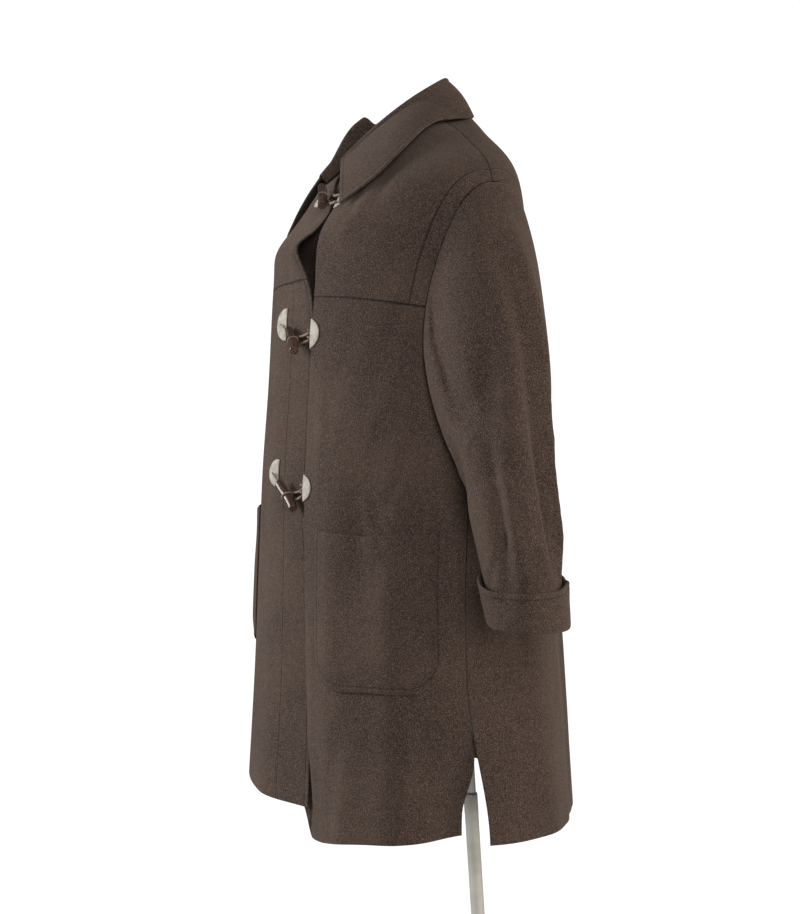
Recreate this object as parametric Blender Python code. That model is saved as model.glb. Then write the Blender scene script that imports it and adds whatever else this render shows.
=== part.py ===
"""Duffle coat with a turn-down collar, three toggles, patch pockets, turned-up cuffs and side vents,
hanging on a limbless dress form on a leaning telescopic pole and a round base.

Metres, +Z up, the origin at the middle of the base's underside. The coat faces -Y, its wearer's
left side is +X. Every cloth panel is read from one body surface, whose two parameters are the turn
around the figure, in degrees from the front towards the wearer's left, and the share of the way
down from the neck seam to the hem. A panel is a wall between two copies of that surface.
"""

import math

import bpy
import numpy as np

# ---------------------------------------------------------------- driving sizes, in metres
CLOTH = 0.0026             # thickness of the coat's wool wall
SEAM_GAP = 0.0005          # air left between two pieces at a seam
LIE_GAP = 0.0010           # air under a piece that lies on a panel
EDGE_X_NECK = 0.041        # free edge of the upper (wearer's right) front: at the neck seam
EDGE_X_CHEST = 0.089       # at the chest
EDGE_X_HEM = 0.112         # and at the hem
OVERLAP = 0.100            # how far the lower front passes under the upper one
BODY_DROP = 0.93           # from the neck seam to the hem, so a share of the way down is this much
YOKE_DOWN = 0.309          # the yoke seam, as a share of the way down
ARMHOLE_TOP = 0.183        # shoulder end of the armhole, as a share of the way down
ARMHOLE_FOOT = 0.478       # underarm
ARMHOLE_FRONT_TURN = 19.7  # how far the armhole reaches to the front of the side, in degrees
ARMHOLE_BACK_TURN = 48.0   # and to the back
VENT_DOWN = 0.840          # top of the side vents

SLEEVE_END_Z = 0.762       # where the sleeve meets the fold of its cuff
CUFF_TOP_Z = 0.803
CUFF_FOOT_Z = 0.757

POCKET_WIDTH = 0.164
POCKET_HEIGHT = 0.184
POCKET_CORNER = 0.045      # radius of its two lower corners
POCKET_TOP_DOWN = 0.607

TOGGLE_LENGTH = 0.050
TOGGLE_RADIUS = 0.0056
PATCH_HEIGHT = 0.036       # straight side of a half-moon leather patch
PATCH_WIDTH = 0.026
PATCH_LEATHER = 0.0016
CORD_RADIUS = 0.0016

POLE_LEAN = 0.0665         # metres forward for each metre up
POLE_OUTER_RADIUS = 0.0090
POLE_INNER_RADIUS = 0.0075
POLE_JOINT_Z = 0.498
BASE_RADIUS = 0.205
BASE_THICKNESS = 0.010
HUB_TOP_Z = 0.037          # top of the cone that holds the pole on the base
FORM_FOOT_Z = 0.745

# The body's rings. Heights at the front, side and back; half the width; the place of the front,
# side and back in Y; and how square the ring is (2 is an ellipse).
RING_COLUMNS = (
    "down", "z_front", "z_side", "z_back", "half_width", "y_front", "y_side", "y_back", "square",
)
RINGS = (
    (0.000, 1.292, 1.362, 1.392, 0.090, -0.228, -0.103, -0.060, 2.8),
    (0.070, 1.262, 1.332, 1.357, 0.145, -0.248, -0.097, -0.045, 2.4),
    (0.180, 1.205, 1.262, 1.285, 0.229, -0.283, -0.093, -0.013, 2.2),
    (0.300, 1.144, 1.114, 1.150, 0.237, -0.289, -0.104, 0.009, 2.2),
    (0.430, 1.015, 1.012, 1.024, 0.240, -0.295, -0.118, 0.024, 2.2),
    (0.550, 0.908, 0.908, 0.912, 0.246, -0.302, -0.128, 0.034, 2.2),
    (0.680, 0.790, 0.790, 0.792, 0.255, -0.306, -0.136, 0.054, 2.2),
    (0.840, 0.645, 0.645, 0.645, 0.266, -0.311, -0.138, 0.066, 2.2),
    (1.000, 0.500, 0.514, 0.500, 0.272, -0.319, -0.138, 0.076, 2.2),
)

# Soft folds of the body: the turn at the fold's top and foot, its half width in degrees, how far it
# stands out (or in), and the shares of the way down between which it shows.
FOLD_COLUMNS = ("turn_top", "turn_foot", "half_width", "height", "start", "end")
FOLDS = (
    (58.0, 50.0, 7.0, -0.007, 0.42, 0.80),
    (68.0, 63.0, 6.0, 0.005, 0.46, 1.05),
    (40.0, 38.0, 7.0, 0.004, 0.36, 0.85),
    (112.0, 118.0, 9.0, 0.006, 0.46, 1.10),
    (140.0, 146.0, 9.0, -0.006, 0.40, 1.10),
    (166.0, 166.0, 9.0, 0.006, 0.50, 1.10),
    (197.0, 193.0, 9.0, -0.006, 0.45, 1.10),
    (222.0, 216.0, 9.0, 0.006, 0.42, 1.10),
    (248.0, 242.0, 9.0, -0.005, 0.50, 1.10),
    (-62.0, -56.0, 7.0, -0.007, 0.42, 0.85),
    (-42.0, -40.0, 7.0, 0.005, 0.38, 1.05),
)


# ---------------------------------------------------------------- small helpers
def column(rows, names, name):
    return np.array([row[names.index(name)] for row in rows])


def through(places, values, at):
    """A smooth curve through the values at these places: cubic pieces whose slopes are the means of the
    spans'. It goes straight on past its ends."""
    spans = np.diff(values) / np.diff(places)
    slopes = np.concatenate([spans[:1], (spans[:-1] + spans[1:]) / 2, spans[-1:]])
    inside = np.clip(at, places[0], places[-1])
    i = np.clip(np.searchsorted(places, inside, side="right") - 1, 0, len(places) - 2)
    width = places[i + 1] - places[i]
    t = (inside - places[i]) / width
    return (
        values[i] * (2 * t**3 - 3 * t**2 + 1)
        + values[i + 1] * (3 * t**2 - 2 * t**3)
        + slopes[i] * width * (t**3 - 2 * t**2 + t)
        + slopes[i + 1] * width * (t**3 - t**2)
        + np.where(at < places[0], slopes[0], slopes[-1]) * (at - inside)
    )


def ease(x, low, high):
    """0 below low, 1 above high, and a smooth step between."""
    t = np.clip((x - low) / (high - low), 0, 1)
    return t * t * (3 - 2 * t)


def hump(x, middle, half_width):
    return np.exp(-(((x - middle) / half_width) ** 2))


def power(x, exponent):
    return np.sign(x) * np.abs(x) ** exponent


# ---------------------------------------------------------------- the body surface
def ring_at(down):
    places = column(RINGS, RING_COLUMNS, "down")
    return {
        name: through(places, column(RINGS, RING_COLUMNS, name), down)
        for name in RING_COLUMNS[1:]
    }


def bare_body(turn, down):
    """The smooth figure under the folds: a squarish ellipse at each share of the way down."""
    turn, down = np.broadcast_arrays(np.asarray(turn, float), np.asarray(down, float))
    r = ring_at(down)
    sine, cosine = np.sin(np.radians(turn)), np.cos(np.radians(turn))
    front = cosine > 0
    x = r["half_width"] * power(sine, 2 / r["square"])
    reach = np.where(front, r["y_front"] - r["y_side"], r["y_back"] - r["y_side"])
    y = r["y_side"] + reach * np.abs(cosine) ** (2 / r["square"])
    rise = np.where(front, r["z_front"] - r["z_side"], r["z_back"] - r["z_side"])
    z = r["z_side"] + rise * np.abs(cosine) ** 1.3
    return np.stack([x, y, z], -1)


def turn_at_x(x, down):
    """The turn at which a ring's front passes this x."""
    r = ring_at(np.asarray(down, float))
    share = np.clip(x / r["half_width"], -1, 1)
    return np.degrees(np.arcsin(power(share, r["square"] / 2)))


def folds_at(turn, down):
    lift = np.zeros(np.broadcast(turn, down).shape)
    for turn_top, turn_foot, half_width, height, start, end in FOLDS:
        middle = turn_top + (turn_foot - turn_top) * down
        shows = ease(down, start, start + 0.25) * (1 - ease(down, end - 0.1, end + 0.1))
        lift = lift + height * hump(turn, middle, half_width) * shows
    return lift


def edge_x(down):
    """Where the upper front's free edge lies, in X."""
    return (
        EDGE_X_NECK
        + (EDGE_X_CHEST - EDGE_X_NECK) * ease(down, 0.0, 0.14)
        + (EDGE_X_HEM - EDGE_X_CHEST) * ease(down, 0.30, 1.05)
    )


def overlap_lift(x, down):
    """How far the upper front's edge strip turns back from the ring, towards its free edge."""
    depth = 0.014 * ease(down, 0.02, 0.30) + 0.012 * ease(down, 0.45, 1.0)
    return -depth * ease(x, edge_x(down) - 0.105, edge_x(down) + 0.004)


def right_front(turn, down):
    """The upper front: its strip turns back at the free edge, and flares out at the chest."""
    x = bare_body(turn, down)[..., 0]
    flare = 0.028 * hump(down, 0.255, 0.060) + 0.004 * hump(down, 0.625, 0.035)
    lift = overlap_lift(x, down) + flare * ease(x, edge_x(down) - 0.07, edge_x(down))
    point = along_normal(bare_body, turn, down, lift + folds_at(turn, down))
    point[..., 2] += 0.022 * ease(x, -0.25, -0.11) * ease(down, 0.1, 0.3)
    return point


def left_front(turn, down):
    """The lower front: it passes under the upper front, and rolls out beside that front's free edge."""
    x = bare_body(turn, down)[..., 0]
    edge = edge_x(down)
    dip = 0.012 * hump(down, 0.235, 0.06)
    under = overlap_lift(x, down) - (CLOTH + 0.0016) - dip
    emerges = ease(x, edge + 0.001, edge + 0.019)
    sunk = 0.016 * ease(down, 0.55, 1.0) + 0.013 * ease(down, 0.84, 1.0)
    outside = -sunk * (1 - ease(x, edge, edge + 0.09))
    lift = under * (1 - emerges) + outside * emerges
    point = along_normal(bare_body, turn, down, lift + folds_at(turn, down))
    below_chest = ease(down, 0.6, 1.0)
    point[..., 2] -= 0.014 * (1 - ease(x, 0.10, 0.25)) * ease(x, edge - 0.02, edge + 0.006) * below_chest
    point[..., 2] += 0.026 * (1 - ease(x, edge - 0.02, edge + 0.006)) * below_chest
    tucked = ease(turn, 70, 92) * ease(down, VENT_DOWN - 0.03, 1.0)
    swung = ease(turn, 72, 92) * ease(down, VENT_DOWN + 0.005, 0.90) * (1 - 0.8 * ease(down, 0.91, 1.0))
    point[..., 1] += 0.010 * swung
    point[..., 0] -= 0.022 * tucked
    return point


def back(turn, down):
    """The back: its lower corners swing out and back at the vents."""
    point = along_normal(bare_body, turn, down, folds_at(turn, down))
    beside = np.maximum(hump(turn, 90, 24), hump(turn, 270, 24)) * ease(down, VENT_DOWN - 0.06, 1.0)
    point[..., 0] += 0.008 * beside * np.sign(point[..., 0])
    point[..., 1] += 0.022 * beside
    point[..., 2] -= 0.006 * beside
    return point


def normal_of(surface, turn, down):
    step_turn, step_down = 0.15, 0.0008
    across = surface(turn + step_turn, down) - surface(turn - step_turn, down)
    along = surface(turn, down + step_down) - surface(turn, down - step_down)
    normal = np.cross(along, across)
    return normal / np.linalg.norm(normal, axis=-1, keepdims=True)


def along_normal(surface, turn, down, lift):
    """The surface's points moved out by lift, along its own normal."""
    turn, down = np.broadcast_arrays(np.asarray(turn, float), np.asarray(down, float))
    lift = np.broadcast_to(lift, turn.shape)
    return surface(turn, down) + normal_of(surface, turn, down) * lift[..., None]


# ---------------------------------------------------------------- meshes and materials
def material(name, colour, roughness, metallic=0.0):
    made = bpy.data.materials.new(name)
    made.use_nodes = True
    shader = made.node_tree.nodes["Principled BSDF"]
    shader.inputs["Base Color"].default_value = (*colour, 1)
    shader.inputs["Roughness"].default_value = roughness
    shader.inputs["Metallic"].default_value = metallic
    return made


def add_mesh(name, points, faces, finish, smooth=True):
    mesh = bpy.data.meshes.new(name)
    mesh.from_pydata([tuple(p) for p in points], [], [tuple(f) for f in faces])
    mesh.update()
    if smooth:
        mesh.shade_smooth()
        mesh.set_sharp_from_angle(angle=math.radians(50))
    mesh.materials.append(finish)
    obj = bpy.data.objects.new(name, mesh)
    bpy.context.scene.collection.objects.link(obj)
    return obj


def add_wall(name, outer, inner, finish, round_tube=False):
    """A closed wall between two grids of points. The last column meets the first on a round tube."""
    rows, columns = outer.shape[:2]
    points = np.concatenate([outer.reshape(-1, 3), inner.reshape(-1, 3)])
    base = rows * columns
    faces = []
    last = columns if round_tube else columns - 1
    for i in range(rows - 1):
        for j in range(last):
            a, b = i * columns + j, i * columns + (j + 1) % columns
            c, d = b + columns, a + columns
            faces.append((a, d, c, b))
            faces.append((base + a, base + b, base + c, base + d))
    for j in range(last):
        k = (j + 1) % columns
        foot = (rows - 1) * columns
        faces.append((j, k, base + k, base + j))
        faces.append((foot + k, foot + j, base + foot + j, base + foot + k))
    if not round_tube:
        for i in range(rows - 1):
            a, d = i * columns, (i + 1) * columns
            faces.append((d, a, base + a, base + d))
            a, d = a + columns - 1, d + columns - 1
            faces.append((a, d, base + d, base + a))
    return add_mesh(name, points, faces, finish)


def add_panel(name, surface, turn, down, finish, lift=0.0, thickness=CLOTH):
    """A panel of cloth on a surface. Its outside is at lift, its inside a wall's thickness further in."""
    outer = along_normal(surface, turn, down, lift)
    inner = along_normal(surface, turn, down, lift - thickness)
    return add_wall(name, outer, inner, finish)


def add_tube(name, path, radius, sides, finish, caps=True):
    """A round tube along a path, with flat ends. The radius may change along it."""
    path = np.asarray(path, float)
    radius = np.broadcast_to(radius, len(path))
    tangent = np.gradient(path, axis=0)
    tangent /= np.linalg.norm(tangent, axis=1, keepdims=True)
    side = np.cross(tangent[0], (0.3, 0.9, 0.2))
    points = []
    for centre, ahead, r in zip(path, tangent, radius):
        side = side - ahead * (side @ ahead)
        side /= np.linalg.norm(side)
        other = np.cross(ahead, side)
        for k in range(sides):
            a = 2 * math.pi * k / sides
            points.append(centre + r * (math.cos(a) * side + math.sin(a) * other))
    faces = [
        (i * sides + k, i * sides + (k + 1) % sides, (i + 1) * sides + (k + 1) % sides, (i + 1) * sides + k)
        for i in range(len(path) - 1)
        for k in range(sides)
    ]
    faces.append(tuple(range(sides))[::-1])
    faces.append(tuple((len(path) - 1) * sides + k for k in range(sides)))
    return add_mesh(name, points, faces, finish)


# ---------------------------------------------------------------- the body's panels
def armhole_reach(down, grow):
    """How far the armhole reaches from the side, from 0 to 1, at this share of the way down: half an
    ellipse. grow enlarges the hole a little."""
    top, foot = ARMHOLE_TOP - grow, ARMHOLE_FOOT + grow
    share = np.clip((down - top) / (foot - top), 0, 1)
    return np.sqrt(1 - (2 * share - 1) ** 2)


def side_line(down, spread, grow=0.0):
    """Degrees by which a panel stops short of the side: half a seam, or the armhole."""
    return 0.06 + (spread + 100 * grow) * armhole_reach(down, grow)


ARMHOLE_ROWS = np.array([0.0, 0.03, 0.11, 0.24, 0.40, 0.58, 0.76, 0.90, 0.975, 1.0])


def rows_between(top, foot):
    """Shares of the way down for a panel's rows: close together where the armhole starts and ends."""
    armhole = ARMHOLE_TOP + (ARMHOLE_FOOT - ARMHOLE_TOP) * ARMHOLE_ROWS
    every = np.concatenate([
        np.linspace(0.0, ARMHOLE_TOP, 5)[:-1],
        armhole,
        np.linspace(ARMHOLE_FOOT, 1.0, 9)[1:],
    ])
    inside = every[(every > top + 0.008) & (every < foot - 0.008)]
    return np.concatenate([[top], inside, [foot]])


# Columns of the fronts. In the overlap they stand at these distances from the upper front's free edge.
UNDER_EDGE = np.array([OVERLAP, 0.074, 0.052, 0.034, 0.018, 0.007])
ROLL = np.array([0.0015, 0.006, 0.011, 0.019])
SIDE_COLUMNS = 15
SEAM_DOWN = SEAM_GAP / BODY_DROP / 2


def front_grid(side, top, foot):
    """Turns and shares of the way down for a front's rows and columns. side is 1 for the wearer's left."""
    down = rows_between(top, foot)[:, None]
    inset = side_line(down, ARMHOLE_FRONT_TURN, 0.001)
    share = np.linspace(0, 1, SIDE_COLUMNS)[None, :]
    strip = [turn_at_x(edge_x(down) - step, down) for step in UNDER_EDGE]
    if side > 0:
        strip += [turn_at_x(edge_x(down) + step, down) for step in ROLL[:-1]]
        first = turn_at_x(edge_x(down) + ROLL[-1], down)
        turn = np.concatenate(strip + [first + (90 - inset - first) * share], axis=1)
    else:
        last = strip[0]
        strip.append(turn_at_x(edge_x(down), down))
        turn = np.concatenate([last + (inset - 90 - last) * (1 - share)] + strip[1:], axis=1)
    return turn, np.broadcast_to(down, turn.shape)


def build_fronts(wool):
    for name, side, surface in (("left", 1, left_front), ("right", -1, right_front)):
        turn, down = front_grid(side, 0.0, YOKE_DOWN - SEAM_DOWN)
        add_panel(f"yoke_{name}", surface, turn, down, wool)
        turn, down = front_grid(side, YOKE_DOWN + SEAM_DOWN, 1.0)
        add_panel(f"front_{name}", surface, turn, down, wool)


def build_back(wool):
    down = rows_between(0.0, 1.0)[:, None]
    share = np.linspace(0, 1, 22)[None, :]
    inset = side_line(down, ARMHOLE_BACK_TURN, 0.001)
    turn = 90 + inset + (180 - 2 * inset) * share
    add_panel("back", back, turn, np.broadcast_to(down, turn.shape), wool)


# ---------------------------------------------------------------- sleeves and cuffs
SLEEVE_COLUMNS = ("along", "x", "y", "half_x", "half_y")
SLEEVE_RINGS = (
    (0.00, 0.296, -0.112, 0.048, 0.066),
    (0.35, 0.307, -0.101, 0.048, 0.060),
    (0.60, 0.315, -0.107, 0.046, 0.042),
    (0.80, 0.321, -0.101, 0.044, 0.038),
    (1.00, 0.326, -0.090, 0.041, 0.039),
)
SLEEVE_FOLD_COLUMNS = ("round_top", "round_foot", "half_width", "height", "start", "end")
SLEEVE_FOLDS = (
    (2.0, -72.0, 12.0, 0.006, 0.02, 0.95),
    (36.0, 52.0, 15.0, -0.010, 0.12, 1.00),
    (70.0, 20.0, 13.0, 0.006, 0.10, 1.00),
    (-40.0, -110.0, 14.0, -0.007, 0.10, 0.95),
    (118.0, 112.0, 16.0, -0.008, 0.04, 0.60),
    (-140.0, -150.0, 18.0, -0.005, 0.20, 0.90),
)
SLEEVE_ROUND = np.radians(np.arange(0, 360, 15.0))


def armhole_point(around, shrink, lift, side=1):
    """A point of the armhole's edge: around is 0 at the shoulder, a quarter turn at the front."""
    share = (1 - np.cos(around)) / 2
    down = ARMHOLE_TOP + shrink + (ARMHOLE_FOOT - ARMHOLE_TOP - 2 * shrink) * share
    reach = armhole_reach(down, -shrink)
    to_front = np.sin(around) >= 0
    spread = np.where(to_front, ARMHOLE_FRONT_TURN, ARMHOLE_BACK_TURN) - 100 * shrink
    turn = 90 - np.where(to_front, 1, -1) * spread * reach
    return along_normal(bare_body, turn, down, lift)


def sleeve_surface(around, along):
    """The wearer's left sleeve: out of the armhole, and then down to a round wrist."""
    around, along = np.broadcast_arrays(around, along)
    low = (1 - np.cos(around)) / 2
    out = ease(along, -0.02, 0.03)
    start = armhole_point(around, 0.0016, -0.0012 + (0.0035 + 0.0035 * low) * out)
    places = column(SLEEVE_RINGS, SLEEVE_COLUMNS, "along")
    x, y, half_x, half_y = (
        through(places, column(SLEEVE_RINGS, SLEEVE_COLUMNS, name), along)
        for name in SLEEVE_COLUMNS[1:]
    )
    fold = np.zeros(around.shape)
    degrees = (np.degrees(around) + 180) % 360 - 180
    for round_top, round_foot, half_width, height, first, last in SLEEVE_FOLDS:
        middle = round_top + (round_foot - round_top) * along
        off = (degrees - middle + 180) % 360 - 180
        shows = ease(along, first, first + 0.15) * (1 - ease(along, last - 0.2, last))
        fold = fold + height * hump(off, 0, half_width) * shows
    out_x = x + (half_x + fold) * np.cos(around)
    out_y = y - (half_y + fold) * np.sin(around)
    travel = np.clip((along - 0.03) / 0.97, 0, None)
    drift_x = 1 - np.clip(1 - travel, 0, None) ** 3
    drift_y = ease(travel, 0.0, 0.45)
    point = np.empty(around.shape + (3,))
    point[..., 0] = start[..., 0] + (out_x - start[..., 0]) * drift_x
    point[..., 1] = start[..., 1] + (out_y - start[..., 1]) * drift_y
    sag = 0.018 * np.cos(around) * along * (1 - along)
    point[..., 2] = start[..., 2] + (SLEEVE_END_Z - start[..., 2]) * travel + sag
    return point


def tube_offset(surface, around, along, lift):
    step = 0.01
    across = surface(around + step, along) - surface(around - step, along)
    downward = surface(around, along + step) - surface(around, along - step)
    normal = np.cross(downward, across)
    normal /= np.linalg.norm(normal, axis=-1, keepdims=True)
    return surface(around, along) - normal * lift


def mirrored(points):
    return points * np.array([-1.0, 1.0, 1.0])


SLEEVE_ALONG = np.array([
    0, 0.03, 0.07, 0.12, 0.18, 0.26, 0.35, 0.44, 0.53, 0.62, 0.71, 0.80, 0.88, 0.95, 1.0,
])


def build_sleeves(wool):
    around, along = SLEEVE_ROUND[None, :], SLEEVE_ALONG[:, None]
    outer = tube_offset(sleeve_surface, around, along, 0.0)
    inner = tube_offset(sleeve_surface, around, along, -CLOTH)
    add_wall("sleeve_left", outer[:, ::-1], inner[:, ::-1], wool, round_tube=True)
    add_wall("sleeve_right", mirrored(outer), mirrored(inner), wool, round_tube=True)


# The cuff's cloth from its rim down the outside, round the fold and up to the sleeve's end: how far the
# middle of the wall stands out from the sleeve, and its height.
CUFF_LINE = (
    (0.0076, CUFF_TOP_Z),
    (0.0070, 0.790),
    (0.0064, 0.776),
    (0.0058, CUFF_FOOT_Z + 0.008),
    (0.0052, CUFF_FOOT_Z + 0.003),
    (0.0036, CUFF_FOOT_Z + 0.0008),
    (0.0014, CUFF_FOOT_Z + 0.0006),
    (-0.0008, CUFF_FOOT_Z + 0.0014),
    (-0.0013, SLEEVE_END_Z - 0.0022),
)


def cuff_point(around, out, z):
    """A point beside the sleeve: out from its surface, at this height."""
    top = armhole_point(around, 0.0016, 0.0)[..., 2]
    along = 0.03 + 0.97 * (top - z) / (top - SLEEVE_END_Z)
    point = tube_offset(sleeve_surface, around, along, out)
    rim = ease(z, CUFF_FOOT_Z + 0.01, CUFF_TOP_Z)
    foot = (1 - rim) * np.clip(out / 0.005, 0, 1)
    rise = 0.004 - 0.010 * np.cos(around) - 0.005 * np.sin(around)
    point[..., 2] = z + rise * rim - 0.003 * foot * np.cos(around)
    return point


def build_cuffs(wool):
    line = np.array([cuff_point(SLEEVE_ROUND, out, z) for out, z in CUFF_LINE])
    down_line = np.gradient(line, axis=0)
    round_line = np.roll(line, -1, axis=1) - np.roll(line, 1, axis=1)
    normal = np.cross(round_line, down_line)
    normal /= np.linalg.norm(normal, axis=-1, keepdims=True)
    outer, inner = line + normal * CLOTH / 2, line - normal * CLOTH / 2
    add_wall("cuff_left", outer[:, ::-1], inner[:, ::-1], wool, round_tube=True)
    add_wall("cuff_right", mirrored(outer), mirrored(inner), wool, round_tube=True)


# ---------------------------------------------------------------- collar
# Stations round the neck, from the back's middle to the front end: the turn of the neck seam, the fold's
# place on the wearer's left, and where on the body the outer edge lies, with its lift off it.
COLLAR_COLUMNS = ("turn", "fold_x", "fold_y", "fold_z", "edge_turn", "edge_down", "edge_lift")
COLLAR_STATIONS = (
    (180.0, 0.000, -0.074, 1.432, 180.0, 0.034, 0.0030),
    (150.0, 0.034, -0.081, 1.429, 150.0, 0.033, 0.0026),
    (120.0, 0.056, -0.104, 1.414, 120.0, 0.029, 0.0028),
    (95.0, 0.068, -0.132, 1.395, 94.0, 0.024, 0.007),
    (75.0, 0.073, -0.160, 1.374, 79.0, 0.048, 0.009),
    (55.0, 0.072, -0.187, 1.351, 64.0, 0.090, 0.010),
    (38.0, 0.061, -0.209, 1.329, 51.0, 0.124, 0.008),
    (25.0, 0.048, -0.2240, 1.312, 36.0, 0.148, 0.008),
)
COLLAR_CLOTH = 0.0030
COLLAR_ROOM = 0.0042       # half the width of the collar's fold
RIGHT_LEAF_RISE = 0.022
COLLAR_ACROSS = (0.0, 0.45, 0.8, 0.9, 1.025, 1.15, 1.25, 1.42, 1.6, 1.8, 2.0)


def collar_profile(seam, fold, edge, across):
    """The collar's line at one station: up from the seam, over a small round fold, and down to the edge.
    across runs from 0 at the seam to 2 at the edge, with the fold between 0.8 and 1.25."""
    out = (edge - fold) * (1, 1, 0)
    out = out / np.linalg.norm(out)
    up = np.array([0, 0, 1.0])
    if across <= 0.8:
        return seam + (fold - out * COLLAR_ROOM - up * 0.004 - seam) * across / 0.8
    if across < 1.25:
        a = math.pi * (across - 0.8) / 0.45
        return fold - up * 0.004 - out * COLLAR_ROOM * math.cos(a) + up * COLLAR_ROOM * math.sin(a)
    t = (across - 1.25) / 0.75
    start = fold + out * COLLAR_ROOM - up * 0.004
    bulge = 0.006 * math.sin(math.pi * t)
    return start + (edge - start) * t + (out * 0.5 + up * 0.6) * bulge


def right_leaf_rise(place):
    """The wearer's right leaf stands higher beside the neck than the left one does."""
    return RIGHT_LEAF_RISE * float(ease(-place, 0.47, 0.57) * (1 - ease(-place, 0.62, 0.86)))


def build_collar(wool):
    places = np.linspace(0, 1, len(COLLAR_STATIONS))
    fine = np.linspace(-1, 1, 33)
    grid = np.empty((len(fine), len(COLLAR_ACROSS), 3))
    for i, place in enumerate(fine):
        turn, fold_x, fold_y, fold_z, edge_turn, edge_down, edge_lift = (
            float(through(places, column(COLLAR_STATIONS, COLLAR_COLUMNS, name), abs(place)))
            for name in COLLAR_COLUMNS
        )
        seam = along_normal(bare_body, turn, -0.0062, -0.0013)
        edge = along_normal(bare_body, edge_turn, edge_down, edge_lift)
        fold = np.array([fold_x, fold_y, fold_z + right_leaf_rise(place)])
        for j, across in enumerate(COLLAR_ACROSS):
            grid[i, j] = collar_profile(seam, fold, edge, across)
        grid[i, :, 0] *= np.sign(place) if place else 1.0
    across_step = np.gradient(grid, axis=1)
    along_step = np.gradient(grid, axis=0)
    normal = np.cross(along_step, across_step)
    normal /= np.linalg.norm(normal, axis=-1, keepdims=True)
    add_wall("collar", grid + normal * COLLAR_CLOTH / 2, grid - normal * COLLAR_CLOTH / 2, wool)


# ---------------------------------------------------------------- pockets
def pocket_grid(side):
    """Turns and shares of the way down of a patch pocket whose lower corners are round."""
    rows = np.concatenate([np.linspace(0, 1 - POCKET_CORNER / POCKET_HEIGHT, 6),
                           1 - POCKET_CORNER / POCKET_HEIGHT * np.array([0.72, 0.45, 0.22, 0.06, 0.0])])
    from_corner = np.clip(rows * POCKET_HEIGHT - (POCKET_HEIGHT - POCKET_CORNER), 0, None)
    half = POCKET_WIDTH / 2 - POCKET_CORNER + np.sqrt(np.clip(POCKET_CORNER**2 - from_corner**2, 0, None))
    columns = np.linspace(-1, 1, 13)
    offset = half[:, None] * columns[None, :]
    down = POCKET_TOP_DOWN + rows[:, None] * POCKET_HEIGHT / BODY_DROP + 0.0 * columns[None, :]
    middle_turn = 58.0 if side > 0 else -48.0
    surface = left_front if side > 0 else right_front
    metre_per_degree = arc_per_degree(surface, middle_turn, 0.7)
    turn = middle_turn + side * offset / metre_per_degree
    sag = 0.005 * (1 - columns[None, :] ** 2) * (1 - rows[:, None])
    return turn, down + sag / BODY_DROP


def arc_per_degree(surface, turn, down):
    ends = surface(np.array([turn - 12.0, turn + 12.0]), np.array([down, down]))
    return float(np.linalg.norm(ends[1] - ends[0])) / 24


def build_pockets(wool):
    for name, side, surface in (("left", 1, left_front), ("right", -1, right_front)):
        turn, down = pocket_grid(side)
        if side < 0:
            turn, down = turn[:, ::-1], down[:, ::-1]
        add_panel(f"pocket_{name}", surface, turn, down, wool, lift=LIE_GAP + CLOTH)


# ---------------------------------------------------------------- toggles, patches and cords
def surface_at(surface, x, z):
    """Turn and share of the way down where a front passes this x and height, by halving."""
    low, high = 0.0, 1.0
    for _ in range(40):
        middle = (low + high) / 2
        turn = turn_at_x(x, middle)
        if surface(turn, np.array(middle))[..., 2] > z:
            low = middle
        else:
            high = middle
    return float(turn_at_x(x, low)), low


def patch_grid(surface, x, z, side):
    """A half-moon patch: its straight side faces the opening. side is 1 where the round side is at +X."""
    turn, down = surface_at(surface, x, z)
    rows = np.sin(np.linspace(-math.pi / 2, math.pi / 2, 9)) * 0.985
    columns = np.linspace(0, 1, 6)
    width = PATCH_WIDTH * np.sqrt(1 - rows**2) ** 0.9
    straight = 0.0015 * (1 - rows**2)
    across = straight[:, None] + width[:, None] * columns[None, :]
    turns = turn + side * across / arc_per_degree(surface, turn + side * 9.0, down)
    downs = down + rows[:, None] * PATCH_HEIGHT / 2 / BODY_DROP + 0 * columns[None, :]
    if side < 0:
        turns, downs = turns[:, ::-1], downs[:, ::-1]
    return turns, downs


# Each fastening: the height of its patches on the upper and the lower front, and of its toggle; the
# places in X of the patches' straight sides and of the toggle; and which way the toggle leans.
FASTENING_COLUMNS = (
    "right_z", "left_z", "toggle_z", "right_x", "left_x", "toggle_x", "lean_x", "lean_y", "lean_z",
)
FASTENINGS = (
    (1.264, 1.250, 1.256, 0.040, 0.100, 0.068, 0.74, -0.12, -0.66),
    (1.108, 1.090, 1.085, 0.026, 0.0945, 0.058, 0.85, -0.05, -0.55),
    (0.922, 0.904, 0.894, 0.028, 0.1000, 0.066, 0.75, 0.24, -0.62),
)
TOGGLE_STAND = 0.0068      # air between the front and a toggle, for its cord and the loop
LOOP_HALF = 0.0044         # half the distance between the loop's two strands


def over(surface, x, z, lift):
    """The point at this x and height on a front, moved out by lift."""
    turn, down = surface_at(surface, x, z)
    return along_normal(surface, turn, down, lift)


def curve_through(points, count):
    """count points on a smooth curve through the given ones."""
    points = np.array(points)
    places = np.concatenate([[0], np.cumsum(np.linalg.norm(np.diff(points, axis=0), axis=1))])
    at = np.linspace(0, places[-1], count)
    return np.stack([through(places, points[:, k], at) for k in range(3)], axis=-1)


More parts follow.
